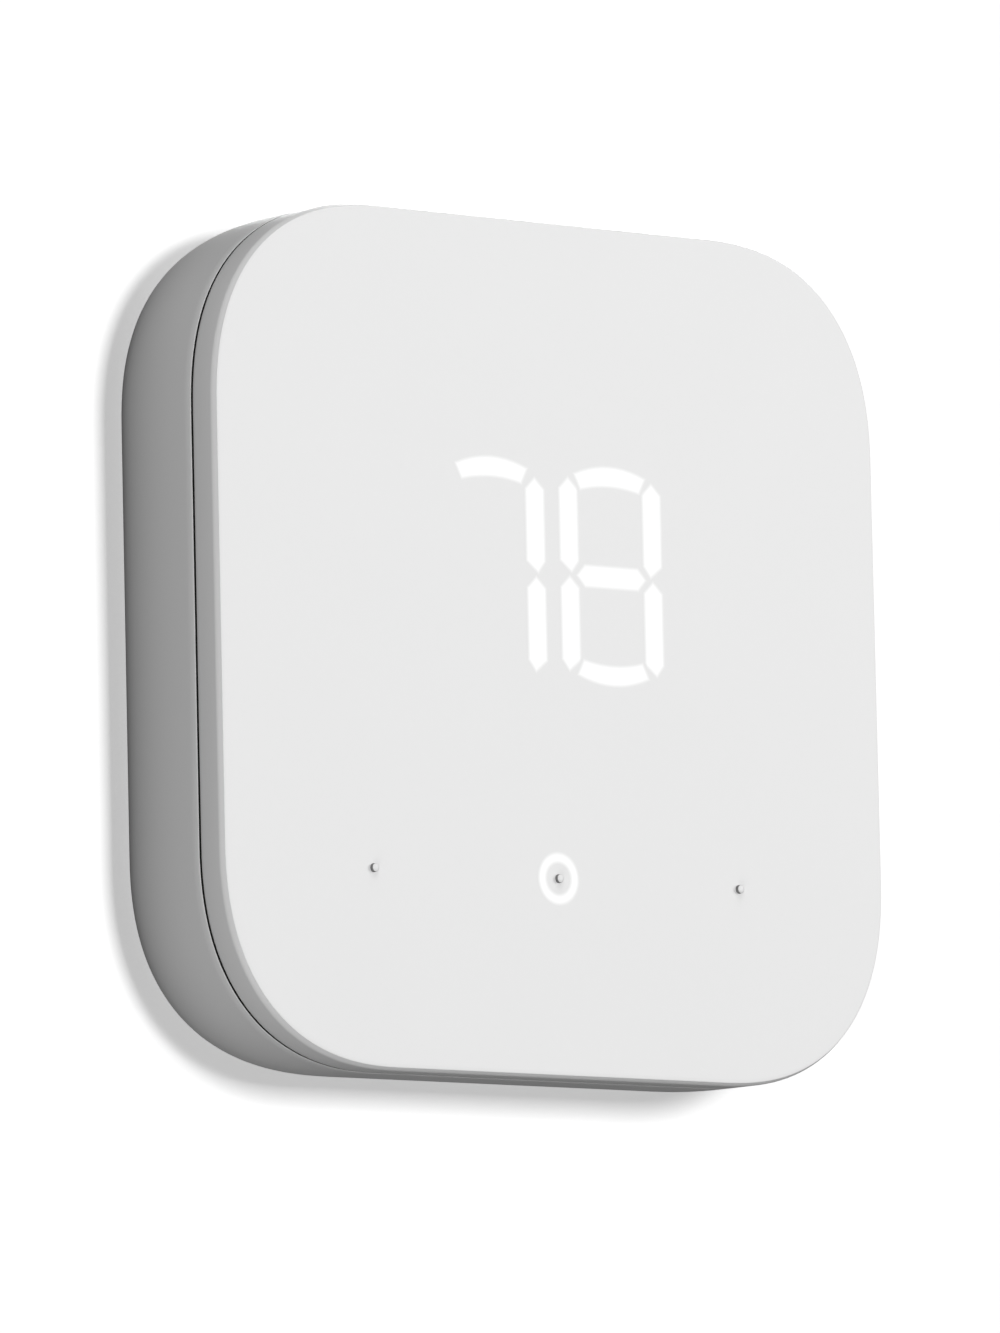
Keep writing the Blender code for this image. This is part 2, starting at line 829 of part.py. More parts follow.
def wall_plate(look):
    """Plate with a raised rim behind, a bay for the wires and two slots for the wall screws."""
    outline = soft_rectangle(plate_width, plate_height, plate_corner)
    inner = soft_rectangle(plate_width - 2 * plate_rim, plate_height - 2 * plate_rim, plate_corner - plate_rim)
    edge = 0.3 * MM
    front = soft_rectangle(plate_width - 2 * edge, plate_height - 2 * edge, plate_corner - edge)
    loops = [at_depth(inner, plate_relief), at_depth(inner, 0.0), at_depth(outline, 0.0)]
    loops += [at_depth(outline, plate_thickness - edge), at_depth(front, plate_thickness)]
    plate = to_object("wall_plate", loft(loops))
    cuts = [prism(soft_rectangle(bay_width, bay_height, bay_corner, steps=4), -gap, depth)]
    slot_width = 2 * (wall_screw_radius + gap)
    for side in (-1, 1):
        slot = soft_rectangle(slot_length, slot_width, slot_width / 2 * 0.999, steps=5)
        cuts.append(prism([(x, z + side * slot_z) for x, z in slot], -gap, depth))
    cut(plate, cuts)
    return finish(plate, look, None)


def terminal_block(look, plate):
    """Left housing: for each wire a chamber, a hole for the pin, a wire entry and a slot for the lever."""
    left = -block_inner - block_width
    right = -block_inner
    half = block_half_height
    block = to_object("terminal_block_left", box(left, right, block_back, block_front, -half, half))
    chamber_right = right - cell_wall
    chamber_left = chamber_right - chamber_width
    chamber_front = block_front - block_roof
    cuts = []
    for z in terminal_heights():
        low = z - cell_half
        high = z + cell_half
        cuts.append(box(chamber_left, chamber_right, block_back - gap, chamber_front, low, high))
    cut(block, cuts)
    openings = []
    for z in terminal_heights():
        hole = pin_side + 2 * fit
        openings.append(block_at(-pin_x, z, hole, hole, chamber_front - gap, block_front + gap))
        slot = lever_size + 2 * gap
        openings.append(block_at(-lever_x, z, slot, slot, block_back + block_floor, block_front + gap))
        entry = bmesh.new()
        bmesh.ops.create_cone(
            entry, cap_ends=True, segments=12, radius1=entry_radius, radius2=entry_radius, depth=3 * cell_wall
        )
        bmesh.ops.rotate(entry, cent=(0, 0, 0), matrix=Matrix.Rotation(math.pi / 2, 3, "Y"), verts=entry.verts)
        middle = (block_back + chamber_front) / 2
        bmesh.ops.translate(entry, vec=(right, -middle, z), verts=entry.verts)
        openings.append(entry)
    cut(block, openings)
    windows = []
    for z in terminal_heights():
        low = block_back + 2 * block_floor
        windows.append(block_at(chamber_left, z, 3 * cell_wall, contact_width, low, chamber_front - block_floor))
    cut(block, windows)
    return finish(block, look, plate)


def terminal_contact(look, plate):
    """Bronze clip in one chamber: a fork for the pin, and a tongue that grips the wire."""
    z = terminal_heights()[0]
    base = block_back + block_floor
    chamber_left = -block_inner - cell_wall - chamber_width
    left = chamber_left + fit
    right = -pin_x + contact_width / 2
    half = contact_width / 2
    clip = to_object("terminal_contact_left_1", box(left, right, base, base + contact_metal, z - half, z + half))
    top = block_front - block_roof - contact_headroom
    prongs = []
    for side in (-1, 1):
        middle = z + side * (pin_side / 2 + gap + contact_metal / 2)
        prongs.append(block_at(-pin_x, middle, contact_width * 0.6, contact_metal, base, top))
    lean = contact_metal * 1.6
    tongue = [(left, base), (left + contact_metal, base), (left + contact_metal + lean, top), (left + lean, top)]
    sheet = loft([[(x, -distance, v) for x, distance in tongue] for v in (z - half * 0.8, z + half * 0.8)])
    join(clip, prongs + [sheet])
    return finish(clip, look, plate, (-pin_x, -base, z))


def terminal_lever(look, plate):
    """Push tab that frees one wire: pressed towards the wall."""
    z = terminal_heights()[0]
    half = lever_size / 2
    back = block_back + block_floor + lever_travel + gap
    nose = [(-half, back), (half, back), (half, lever_front - lever_proud), (half * 0.5, lever_front)]
    nose += [(-half, lever_front)]
    sides = [[(-lever_x + x, -distance, v) for x, distance in nose] for v in (z - half, z + half)]
    tab = to_object("terminal_lever_left_1", loft(sides))
    return finish(tab, look, plate, (-lever_x, -lever_front, z))


def terminals(plate, housing, bronze, tab):
    block = terminal_block(housing, plate)
    copy_of(block, "terminal_block_right", (0.0, 0.0, 0.0), half_turn=True)
    for first in (terminal_contact(bronze, plate), terminal_lever(tab, plate)):
        kind = first.name.removesuffix("_left_1")
        for index in range(terminals_per_side):
            drop = -index * terminal_pitch
            if index:
                copy_of(first, f"{kind}_left_{index + 1}", (0.0, 0.0, drop))
            rise = (terminals_per_side - 1 - index) * terminal_pitch
            copy_of(first, f"{kind}_right_{index + 1}", (0.0, 0.0, rise), half_turn=True)


def wall_fixings(plate, steel, nylon):
    """Two screws through the plate's slots, each in an anchor sunk in the wall."""
    seat = plate_thickness + gap
    head = (wall_screw_head_radius, wall_screw_head_height)
    length = wall_screw_length + seat - gap
    for name, z in (("top", slot_z), ("bottom", -slot_z)):
        screw(f"wall_screw_{name}", steel, plate, 0.0, z, head, (wall_screw_radius, length), seat, -1)
        sink = plate_relief - gap
        profile = [(-anchor_length, anchor_radius * 0.8), (-anchor_length * 0.3, anchor_radius)]
        profile += [(-0.5 * MM, anchor_radius), (-0.5 * MM, anchor_radius * 1.3), (0.0, anchor_radius * 1.3)]
        anchor = to_object(f"wall_anchor_{name}", turned(profile, 16, 0.0, z))
        cut(anchor, [rod(wall_screw_radius + gap, 16, -anchor_length - sink, depth, 0.0, z)])
        finish(anchor, nylon, plate)


def clear_scene():
    for leftover in list(bpy.data.objects):
        bpy.data.objects.remove(leftover)


def display_unit():
    unit = bpy.data.objects.new("display_unit", None)
    bpy.context.scene.collection.objects.link(unit)
    white = shell_plastic()
    black = black_plastic()
    board = circuit_board()
    steel = screw_steel()
    coil = spring_steel()
    front_cover(unit, white)
    rear_case(unit, white)
    light_box(unit, light_box_plastic())
    segment_diffuser(unit, clear_film())
    mode_light_guide(unit, guide_plastic())
    for name, x in key_points().items():
        radius = mode_spring_radius if name == "mode" else spring_radius
        touch_spring(unit, coil, f"touch_spring_{name}", x, radius)
    display_board(unit, board)
    relay_board(unit, board)
    relays(unit, relay_plastic())
    backup_capacitor(unit, black)
    climate_sensor(unit, black)
    radio_module(unit, tinned_metal())
    controller_chip(unit, black)
    board_connector(unit, black)
    pin_headers(unit, black, contact_metal_finish())
    case_screws(unit, steel)
    board_screws(unit, steel)


def wall_side():
    plate = wall_plate(plate_plastic())
    terminals(plate, terminal_plastic(), contact_metal_finish(), lever_plastic())
    wall_fixings(plate, screw_steel(), anchor_plastic())


def main():
    clear_scene()
    wall_side()
    display_unit()


main()
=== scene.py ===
import math

import bmesh
import bpy
from mathutils import Matrix, Vector
from mathutils.geometry import delaunay_2d_cdt


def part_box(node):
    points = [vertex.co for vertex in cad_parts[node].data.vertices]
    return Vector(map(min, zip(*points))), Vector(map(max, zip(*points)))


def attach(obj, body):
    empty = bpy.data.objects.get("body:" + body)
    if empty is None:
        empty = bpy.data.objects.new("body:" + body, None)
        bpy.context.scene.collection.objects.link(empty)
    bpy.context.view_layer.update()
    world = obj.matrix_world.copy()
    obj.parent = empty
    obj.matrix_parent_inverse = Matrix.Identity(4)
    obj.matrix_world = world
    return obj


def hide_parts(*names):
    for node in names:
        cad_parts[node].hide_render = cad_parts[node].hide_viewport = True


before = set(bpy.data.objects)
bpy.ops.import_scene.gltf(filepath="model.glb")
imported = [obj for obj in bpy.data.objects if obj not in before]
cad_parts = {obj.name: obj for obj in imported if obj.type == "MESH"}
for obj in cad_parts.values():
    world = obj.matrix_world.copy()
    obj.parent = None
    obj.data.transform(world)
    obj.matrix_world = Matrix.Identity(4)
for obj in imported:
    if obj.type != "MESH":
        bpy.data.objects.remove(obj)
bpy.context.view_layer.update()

# A square wall thermostat: lit digits behind a plain white face, on a wall plate with eight wire terminals.
# The wall is y = 0, the face looks along -Y, +X is right and +Z is up. Everything is in metres.

mm = 0.001
print("frame loaded:", len(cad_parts), "pieces")


class Wire:  # one output socket, so that shader maths reads as maths
    def __init__(self, look, socket):
        self.look = look
        self.socket = socket

    def maths(self, operation, first, second):
        return self.look.node("ShaderNodeMath", {"operation": operation}, {0: first, 1: second})

    def __add__(self, other):
        return self.maths("ADD", self, other)

    def __radd__(self, other):
        return self.maths("ADD", other, self)

    def __sub__(self, other):
        return self.maths("SUBTRACT", self, other)

    def __rsub__(self, other):
        return self.maths("SUBTRACT", other, self)

    def __mul__(self, other):
        return self.maths("MULTIPLY", self, other)

    def __rmul__(self, other):
        return self.maths("MULTIPLY", other, self)


class Look:  # a material in the making
    def __init__(self, name, fixed):
        self.material = bpy.data.materials.new(name)
        self.material.use_nodes = True
        self.tree = self.material.node_tree
        self.shader = self.tree.nodes["Principled BSDF"]
        for socket, value in fixed.items():
            self.shader.inputs[socket].default_value = value

    def feed(self, socket, value):
        if isinstance(value, Wire):
            self.tree.links.new(value.socket, socket)
        else:
            socket.default_value = value

    def node(self, kind, settings=None, inputs=None, output=0):
        made = self.tree.nodes.new(kind)
        for name, value in (settings or {}).items():
            if name != "stops":
                setattr(made, name, value)
                continue
            ramp = made.color_ramp
            while len(ramp.elements) < len(value):
                ramp.elements.new(1.0)
            for element, (place, level) in zip(ramp.elements, value):
                element.position = place
                element.color = (level, level, level, 1.0)
        for name, value in (inputs or {}).items():
            self.feed(made.inputs[name], value)
        return Wire(self, made.outputs[output])

    def set(self, **values):
        for name, value in values.items():
            self.feed(self.shader.inputs[name.replace("_", " ")], value)

    def place(self, stretch=(1.0, 1.0, 1.0)):
        whole = self.node("ShaderNodeTexCoord", output="Object")
        return self.node("ShaderNodeVectorMath", {"operation": "MULTIPLY"}, {0: whole, 1: stretch})

    def noise(self, size, detail=2.0, stretch=(1.0, 1.0, 1.0)):
        inputs = {"Vector": self.place(stretch), "Scale": 1.0 / size, "Detail": detail}
        return self.node("ShaderNodeTexNoise", {}, inputs)

    def tint(self, factor, first, second):
        sockets = {0: factor, 6: (*first, 1.0) if isinstance(first, tuple) else first}
        sockets[7] = (*second, 1.0) if isinstance(second, tuple) else second
        return self.node("ShaderNodeMix", {"data_type": "RGBA"}, sockets, 2)

    def ramp(self, value, stops):
        return self.node("ShaderNodeValToRGB", {"stops": stops}, {0: value})

    def bump(self, height, distance):
        return self.node("ShaderNodeBump", {}, {"Height": height, "Distance": distance})


def shade(colour, factor):
    return tuple(min(1.0, part * factor) for part in colour)


# Painted shade: near-black mixed into the white shell inside the seam and on the touch marks' steep sides,
# standing in for the shade there
paintedShadeBlack = (0.012, 0.012, 0.012)

# Moulded plastics: spark-eroded grain, faint clouds in the colour, gloss that wanders a little

shellWhite = {
    "colour": (0.70, 0.70, 0.70),
    "cloud": 0.006,  # share by which the colour wanders
    "cloudSize": 18 * mm,
    "rough": 0.40,
    "roughSpread": 0.05,
    "grainSize": 0.16 * mm,
    "grainDepth": 0.0012 * mm,
    "specular": 0.45,
    "speckTimes": 6,  # specks are this much larger than the grain
    "speckShare": 0.3,  # how much of the colour's wandering is specks, the rest is cloud
    "grainShare": 0.6,  # how much of the gloss's wandering is grain, the rest is cloud
}
plateGrey = {**shellWhite, "colour": (0.62, 0.63, 0.64), "cloud": 0.02, "rough": 0.52, "grainSize": 0.25 * mm,
             "grainDepth": 0.006 * mm}
terminalBlack = {**plateGrey, "colour": (0.025, 0.027, 0.03), "cloud": 0.10, "rough": 0.48}
leverGrey = {**plateGrey, "colour": (0.40, 0.42, 0.44), "rough": 0.42}
plainBlack = {**terminalBlack, "colour": (0.02, 0.02, 0.022), "rough": 0.45, "grainDepth": 0.004 * mm}
relayBlue = {**plateGrey, "colour": (0.02, 0.055, 0.14), "cloud": 0.06, "rough": 0.38}
lightBoxWhite = {**plateGrey, "colour": (0.75, 0.75, 0.72), "rough": 0.55}
filmWhite = {**shellWhite, "colour": (0.80, 0.81, 0.82), "rough": 0.30, "specular": 0.5}
guideClear = {**shellWhite, "colour": (0.78, 0.82, 0.84), "rough": 0.12, "grainDepth": 0.0005 * mm}
anchorNylon = {**plateGrey, "colour": (0.60, 0.59, 0.54), "cloud": 0.04, "rough": 0.50, "grainSize": 0.6 * mm,
               "grainDepth": 0.02 * mm}


def mouldedPlastic(name, finish, gap=False, **fixed):
    look = Look(name, {"Specular IOR Level": finish["specular"], **fixed})
    cloud = look.noise(finish["cloudSize"])
    speck = look.noise(finish["grainSize"] * finish["speckTimes"], 3.0)
    grain = look.noise(finish["grainSize"], 3.0)
    pale = shade(finish["colour"], 1 + finish["cloud"])
    deep = shade(finish["colour"], 1 - finish["cloud"])
    patches = cloud * (1 - finish["speckShare"]) + speck * finish["speckShare"]
    colour = look.tint(look.ramp(patches, ((0.35, 0.0), (0.65, 1.0))), deep, pale)
    if gap:  # a value on the mesh, 1 inside the seam and lower on the sides of the touch marks, mixes in painted shade: near-black where shade falls in the seam and on the marks' steep sides
        painted = look.node("ShaderNodeAttribute", {"attribute_name": "gap"}, output="Fac")
        colour = look.tint(painted, colour, paintedShadeBlack)
    uneven = grain * finish["grainShare"] + cloud * (1 - finish["grainShare"]) - 0.5
    look.set(Base_Color=colour, Roughness=finish["rough"] + finish["roughSpread"] * uneven)
    look.set(Normal=look.bump(grain, finish["grainDepth"]))
    return look


# The cover's skin lets the lamps through: "glow" is a value on its mesh, 1 over a lit window and 0 elsewhere

lamp = {
    "colour": (1.0, 1.0, 1.0),
    "strength": 0.22,
    "filmStrength": 0.3,  # of the diffuser behind the skin
    "filmDim": 0.8,  # its dimmest patches, as a share of its brightest
    "patchSize": 6 * mm,
}


def litWhite():
    look = mouldedPlastic("shellWhiteLit", shellWhite, True, **{"Emission Strength": lamp["strength"]})
    glow = look.node("ShaderNodeAttribute", {"attribute_name": "glow"}, output="Fac")
    even = look.node("ShaderNodeMapRange", {"interpolation_type": "SMOOTHSTEP"}, {0: glow})
    look.set(Emission_Color=look.tint(even, (0.0, 0.0, 0.0), lamp["colour"]))
    return look


def litFilm():
    look = mouldedPlastic("segmentFilm", filmWhite, **{"Emission Strength": lamp["filmStrength"]})
    patch = look.ramp(look.noise(lamp["patchSize"]), ((0.3, lamp["filmDim"]), (0.7, 1.0)))
    look.set(Emission_Color=look.tint(patch, shade(lamp["colour"], lamp["filmDim"]), lamp["colour"]))
    return look


# Metals: drawn or rolled streaks, a little haze, fine scratches

screwSteel = {
    "colour": (0.50, 0.51, 0.53),
    "worn": (0.62, 0.62, 0.63),
    "rough": 0.30,
    "roughSpread": 0.16,
    "streak": (1.0, 6.0, 1.0),
    "streakSize": 0.5 * mm,
    "streakDepth": 0.004 * mm,
    "hazeSize": 3 * mm,
    "hazeShare": 0.6,  # how much of the gloss's wandering is haze, the rest is streaks
}
springSteel = {**screwSteel, "colour": (0.60, 0.60, 0.61), "rough": 0.24, "streak": (1.0, 1.0, 1.0)}
tinnedCan = {**screwSteel, "colour": (0.58, 0.58, 0.56), "rough": 0.33, "streak": (8.0, 1.0, 1.0)}
contactBronze = {**screwSteel, "colour": (0.64, 0.40, 0.17), "worn": (0.76, 0.52, 0.28),
                 "streak": (1.0, 1.0, 5.0)}


def metal(name, finish):
    look = Look(name, {"Metallic": 1.0})
    streak = look.noise(finish["streakSize"], 4.0, finish["streak"])
    haze = look.noise(finish["hazeSize"])
    wear = look.ramp(streak * 0.5 + haze * 0.5, ((0.4, 0.0), (0.6, 1.0)))
    uneven = haze * finish["hazeShare"] + streak * (1 - finish["hazeShare"]) - 0.5
    look.set(Base_Color=look.tint(wear, finish["colour"], finish["worn"]))
    look.set(Roughness=finish["rough"] + finish["roughSpread"] * uneven)
    look.set(Normal=look.bump(streak, finish["streakDepth"]))
    return look


# Circuit boards: green lacquer with the copper tracks showing through it

board = {
    "mask": (0.012, 0.10, 0.045),
    "track": (0.022, 0.17, 0.08),
    "trackSize": 2.4 * mm,
    "trackDepth": 0.03 * mm,
    "trackWide": 0.10,  # share of a track's spacing
    "rough": 0.34,
    "roughSpread": 0.10,
    "trackGloss": 0.05,  # how much smoother the lacquer is over a track
    "cloudSize": 5 * mm,
    "weaveSize": 0.3 * mm,
    "weaveShare": 0.2,  # of the relief, the rest is the tracks'
}


def circuitBoard():
    look = Look("circuitBoard", {"Specular IOR Level": 0.55})
    cells = {"Vector": look.place((1.0, 0.02, 1.0)), "Scale": 1.0 / board["trackSize"]}
    edge = look.node("ShaderNodeTexVoronoi", {"feature": "DISTANCE_TO_EDGE"}, cells)
    track = look.ramp(edge, ((board["trackWide"], 1.0), (board["trackWide"] * 1.3, 0.0)))
    cloud = look.noise(board["cloudSize"])
    weave = look.noise(board["weaveSize"])
    relief = track * (1 - board["weaveShare"]) + weave * board["weaveShare"]
    look.set(Base_Color=look.tint(track, board["mask"], board["track"]))
    look.set(Roughness=board["rough"] + board["roughSpread"] * cloud - board["trackGloss"] * track)
    look.set(Normal=look.bump(relief, board["trackDepth"]))
    return look


slotLooks = {  # by the names that the pieces' materials have in the frame
    "shell_white": mouldedPlastic("shellWhite", shellWhite),
    "plate_grey": mouldedPlastic("plateGrey", plateGrey),
    "terminal_black": mouldedPlastic("terminalBlack", terminalBlack),
    "lever_grey": mouldedPlastic("leverGrey", leverGrey),
    "black_plastic": mouldedPlastic("plainBlack", plainBlack),
    "relay_blue": mouldedPlastic("relayBlue", relayBlue),
    "light_box_white": mouldedPlastic("lightBoxWhite", lightBoxWhite),
    "segment_light": litFilm(),
    "clear_guide": mouldedPlastic("guideClear", guideClear),
    "anchor_nylon": mouldedPlastic("anchorNylon", anchorNylon),
    "spring_steel": metal("springSteel", springSteel),
    "tinned_can": metal("tinnedCan", tinnedCan),
    "contact_bronze": metal("contactBronze", contactBronze),
    "screw_steel": metal("screwSteel", screwSteel),
    "circuit_board": circuitBoard(),
}

slotNames = {}
for name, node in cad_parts.items():
    slotNames[name] = node.data.materials[0].name
    node.data.materials[0] = slotLooks[slotNames[name]].material
print("finishes made:", len(slotLooks))


# Mesh helpers: outlines are (x, z) points, seen from the front, anticlockwise


def softSquare(halfWide, halfHigh, radius, power=2.0, steps=36):
    corner = []
    for step in range(steps + 1):
        turn = math.pi / 2 * step / steps
        corner.append((abs(math.cos(turn)) ** (2 / power), abs(math.sin(turn)) ** (2 / power)))
    points = []
    for signX, signZ in ((1, 1), (-1, 1), (-1, -1), (1, -1)):
        quarter = corner if signX == signZ else corner[::-1]
        for cos, sin in quarter:
            x = halfWide - radius + radius * cos
            z = halfHigh - radius + radius * sin
            points.append((signX * x, signZ * z))
    return points


def circle(radius, sides=48, x=0.0, z=0.0):
    turn = 2 * math.pi / sides
    return [(x + radius * math.cos(turn * side), z + radius * math.sin(turn * side)) for side in range(sides)]


def ring(mesh, points, y):
    return [mesh.verts.new((x, y, z)) for x, z in points]


def bridge(mesh, first, second):
    count = len(first)
    for index in range(count):
        after = (index + 1) % count
        mesh.faces.new((first[index], first[after], second[after], second[index]))


def chain(mesh, rings):
    for first, second in zip(rings, rings[1:]):
        bridge(mesh, first, second)
    return rings[-1]


def grown(points, amount):  # an outline moved outwards, or inwards when amount is negative
    moved = []
    for index, here in enumerate(points):
        before = Vector(here) - Vector(points[index - 1])
        after = Vector(points[(index + 1) % len(points)]) - Vector(here)
        outward = Vector((before.y, -before.x)).normalized() + Vector((after.y, -after.x)).normalized()
        outward /= max(0.5, outward.length_squared / 2)
        moved.append(tuple(Vector(here) + outward * amount))
    return moved


def fillAround(mesh, rim, holes, marks, heightAt):
    # Triangles inside rim, none inside holes, with marks as edges; returns the holes' and the marks' vertices
    verts = list(rim)
    flat = [Vector((vert.co.x, vert.co.z)) / mm for vert in rim]
    edges = []
    loops = []
    for points in holes + marks:
        loops.append([mesh.verts.new((x, heightAt(x, z), z)) for x, z in points])
        verts += loops[-1]
        flat += [Vector(point) / mm for point in points]
    faces = []
    start = 0
    for count in [len(rim)] + [len(points) for points in holes + marks]:
        edges += [(start + index, start + (index + 1) % count) for index in range(count)]
        faces.append(list(range(start, start + count)))
        start += count
    found = delaunay_2d_cdt(flat, edges, faces[:len(holes) + 1], 1, 1e-5)
    placed = []
    for point, sources in zip(found[0], found[3]):
        x, z = point * mm
        placed.append(verts[sources[0]] if sources else mesh.verts.new((x, heightAt(x, z), z)))
    for corners, owners in zip(found[2], found[5]):
        if max(owners) == 0:
            mesh.faces.new([placed[corner] for corner in corners])
    return loops


def smoothed(data, crispFrom=35):  # edges steeper than this many degrees stay crisp
    data.shade_smooth()
    data.set_sharp_from_angle(angle=math.radians(crispFrom))


def toObject(name, mesh, look):
    bmesh.ops.recalc_face_normals(mesh, faces=mesh.faces)
    data = bpy.data.meshes.new(name)
    mesh.to_mesh(data)
    mesh.free()
    smoothed(data)
    data.materials.append(look.material)
    made = bpy.data.objects.new(name, data)
    bpy.context.scene.collection.objects.link(made)
    return made


def standIn(made, body, node):  # made takes the place of a piece of the frame
    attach(made, body)
    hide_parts(node)


# The outline that the cover and the case share

coverLow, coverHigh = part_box("front_cover")
caseLow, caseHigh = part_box("rear_case")

outline = {
    "halfWide": (coverHigh.x - coverLow.x) / 2,
    "halfHigh": (coverHigh.z - coverLow.z) / 2,
    "corner": 22.9 * mm,
    "power": 2.36,  # 2 is a circular arc, more is a fuller corner
}


def shellOutline(inset):
    return softSquare(outline["halfWide"] - inset, outline["halfHigh"] - inset, outline["corner"] - inset,
                      outline["power"])


# Lit digits, 7 and 8: pointed uprights and middle bar, bowed bars at the top and the bottom

digits = {
    "pitch": 16.5 * mm,
    "shift": -0.31 * mm,  # of the pair, from the middle of the diffuser behind it
    "column": 5.75 * mm,  # from a digit's middle to its uprights
    "upper": 5.1 * mm,  # heights above the digits' middle
    "lower": -5.35 * mm,
    "middle": -0.2 * mm,
    "top": 11.0 * mm,
    "bottom": -11.15 * mm,
    "uprightLong": 9.85 * mm,
    "uprightWide": 2.4 * mm,
    "lean": 0.28 * mm,  # how far an upright's foot points to one side
    "shoulder": 0.95,  # a point's length, as a share of half the bar's width
    "barLong": 9.35 * mm,
    "barWide": 2.2 * mm,
    "bowLong": 9.65 * mm,
    "bowWide": 2.0 * mm,
    "bowRise": 0.95 * mm,
    "bowFlat": 0.5,  # how much flatter the inner edge of a bow is
    "bowShort": 0.8,  # how much shorter it is, as a share of the bow's width
    "bowSteps": 10,
    "sevenBar": (0.28 * mm, 0.1 * mm),  # the seven's own shifts, right and up
    "sevenColumn": (0.4 * mm, -0.35 * mm),
    "soft": 0.30 * mm,  # half the width of a glowing edge
}


def pointedBar(long, wide, upright=False, footLean=0.0):
    half = long / 2
    side = wide / 2
    shoulder = half - side * digits["shoulder"]
    points = [(-half, footLean), (-shoulder, -side), (shoulder, -side), (half, 0.0), (shoulder, side),
              (-shoulder, side)]
    return [(-z, x) for x, z in points] if upright else points


def bowedBar(side):  # side 1 is the top bar, -1 the bottom one
    outer = []
    inner = []
    innerLong = digits["bowLong"] - digits["bowShort"] * digits["bowWide"]
    innerRise = digits["bowRise"] * digits["bowFlat"]
    for step in range(digits["bowSteps"] + 1):
        along = 2 * step / digits["bowSteps"] - 1
        bow = 1 - along ** 2
        outer.append((along * digits["bowLong"] / 2, side * digits["bowRise"] * (bow - 0.5)))
        edge = digits["bowRise"] / 2 - digits["bowWide"] - innerRise * (1 - bow)
        inner.append((along * innerLong / 2, side * edge))
    points = outer + inner[::-1]
    return points if side < 0 else points[::-1]


def segmentOutlines():
    low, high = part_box("segment_diffuser")
    middleX = (low.x + high.x) / 2 + digits["shift"]
    middleZ = (low.z + high.z) / 2
    left = middleX - digits["pitch"] / 2
    right = middleX + digits["pitch"] / 2
    uprightLong = digits["uprightLong"]
    lean = digits["lean"]

    def moved(points, x, z):
        return [(x + u, middleZ + z + v) for u, v in points]

    def column(x, way, raised=0.0):
        high = pointedBar(uprightLong, digits["uprightWide"], True, -way * lean)
        low = pointedBar(uprightLong, digits["uprightWide"], True, way * lean)
        return [moved(high, x, digits["upper"] + raised), moved(low, x, digits["lower"] + raised)]

    barRight, barUp = digits["sevenBar"]
    columnRight, columnUp = digits["sevenColumn"]
    seven = [moved(bowedBar(1), left + barRight, digits["top"] + barUp)]
    seven += column(left + digits["column"] + columnRight, 1, columnUp)
    eight = [moved(bowedBar(1), right, digits["top"]), moved(bowedBar(-1), right, digits["bottom"])]
    eight.append(moved(pointedBar(digits["barLong"], digits["barWide"]), right, digits["middle"]))
    eight += column(right - digits["column"], 1) + column(right + digits["column"], -1)
    return seven + eight


# Front cover: a flat face, softly rounded to its side, a tongue that drops into the case

cover = {
    "markRadius": 0.46 * mm,  # raised marks on the touch keys
    "markHeight": 0.45 * mm,
    "markCrown": 0.12 * mm,  # the part of that height that is domed
    "markPaintedShade": 0.8,  # share of painted shade mixed into a mark's steep side
    "printShift": -0.28 * mm,  # of the marks and the glowing ring, from the keys' springs and guide
    "edgeInset": 0.27 * mm,  # the face's edge leans back this far
    "edgeDeep": 0.75 * mm,  # over this depth
    "edgeLean": 1.5,  # 1 is a straight slope, more leans mostly next to the face
    "edgeRound": 0.10 * mm,
    "seamGap": 0.35 * mm,
    "lip": 0.07 * mm,  # rounding at the seam
    "wall": 1.8 * mm,
    "slack": 0.4 * mm,
    "tongueWall": 1.2 * mm,
    "tongueLong": 1.9 * mm,
    "faceThick": 2.0 * mm,
    "skin": 0.8 * mm,  # left in front of the lit windows
    "ringOuter": 2.65 * mm,
    "ringInner": 1.75 * mm,
    "bossWall": 1.0 * mm,
    "screwFit": 0.3 * mm,  # round the shanks of the case's and the board's screws
    "boardBoss": 0.2 * mm,  # heights of the bosses for those screws
    "caseBoss": 5.0 * mm,
    "boreFloor": 0.1 * mm,  # how far above the ceiling their bores end
    "markSteep": 0.95,  # a mark's side stands between this share of its radius and the whole radius
    "markFoot": (1.06, 1.0),  # rings of vertices round a mark, shares of its radius, below its side
    "markTop": (0.88, 0.7, 0.4),  # and on its crown
    "markSides": 28,
    "glowSides": 72,
    "guideSides": 48,
    "postSides": 32,
    "edgeTurns": (0.0, 0.35, 0.7, 1.0),  # angles at which the rounding has vertices
    "faceRim": 0.5 * mm,  # strips next to the rounded edge and next to the seam
    "seamRim": 0.3 * mm,
}

faceY = coverLow.y + cover["markHeight"]
seamY = caseLow.y - cover["seamGap"]


def markCentres():
    centres = []
    for name in ("touch_spring_down", "touch_spring_mode", "touch_spring_up"):
        low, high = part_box(name)
        centres.append(round((low.x + high.x) / 2, 4) + cover["printShift"])
    low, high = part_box("mode_light_guide")
    return [(x, (low.z + high.z) / 2) for x in centres]


def quarterArc(radius, steps):  # (inset, rise) pairs from the flat of a face to its side
    turns = [math.pi / 2 * step / steps for step in range(steps + 1)]
    return [(radius * (1 - math.sin(turn)), radius * (1 - math.cos(turn))) for turn in turns]


def edgeProfile():  # (inset, rise) pairs over the cover's front edge
    inset, deep, lean, radius = (cover[size] for size in ("edgeInset", "edgeDeep", "edgeLean", "edgeRound"))
    points = [(inset + radius * (1 - math.sin(turn)), radius * (1 - math.cos(turn)))
              for turn in cover["edgeTurns"]]
    steps = 8
    for step in range(steps + 1):
        rise = radius + (deep - radius) * step / steps
        points.append((inset * ((deep - rise) / (deep - radius)) ** lean, rise))
    return points


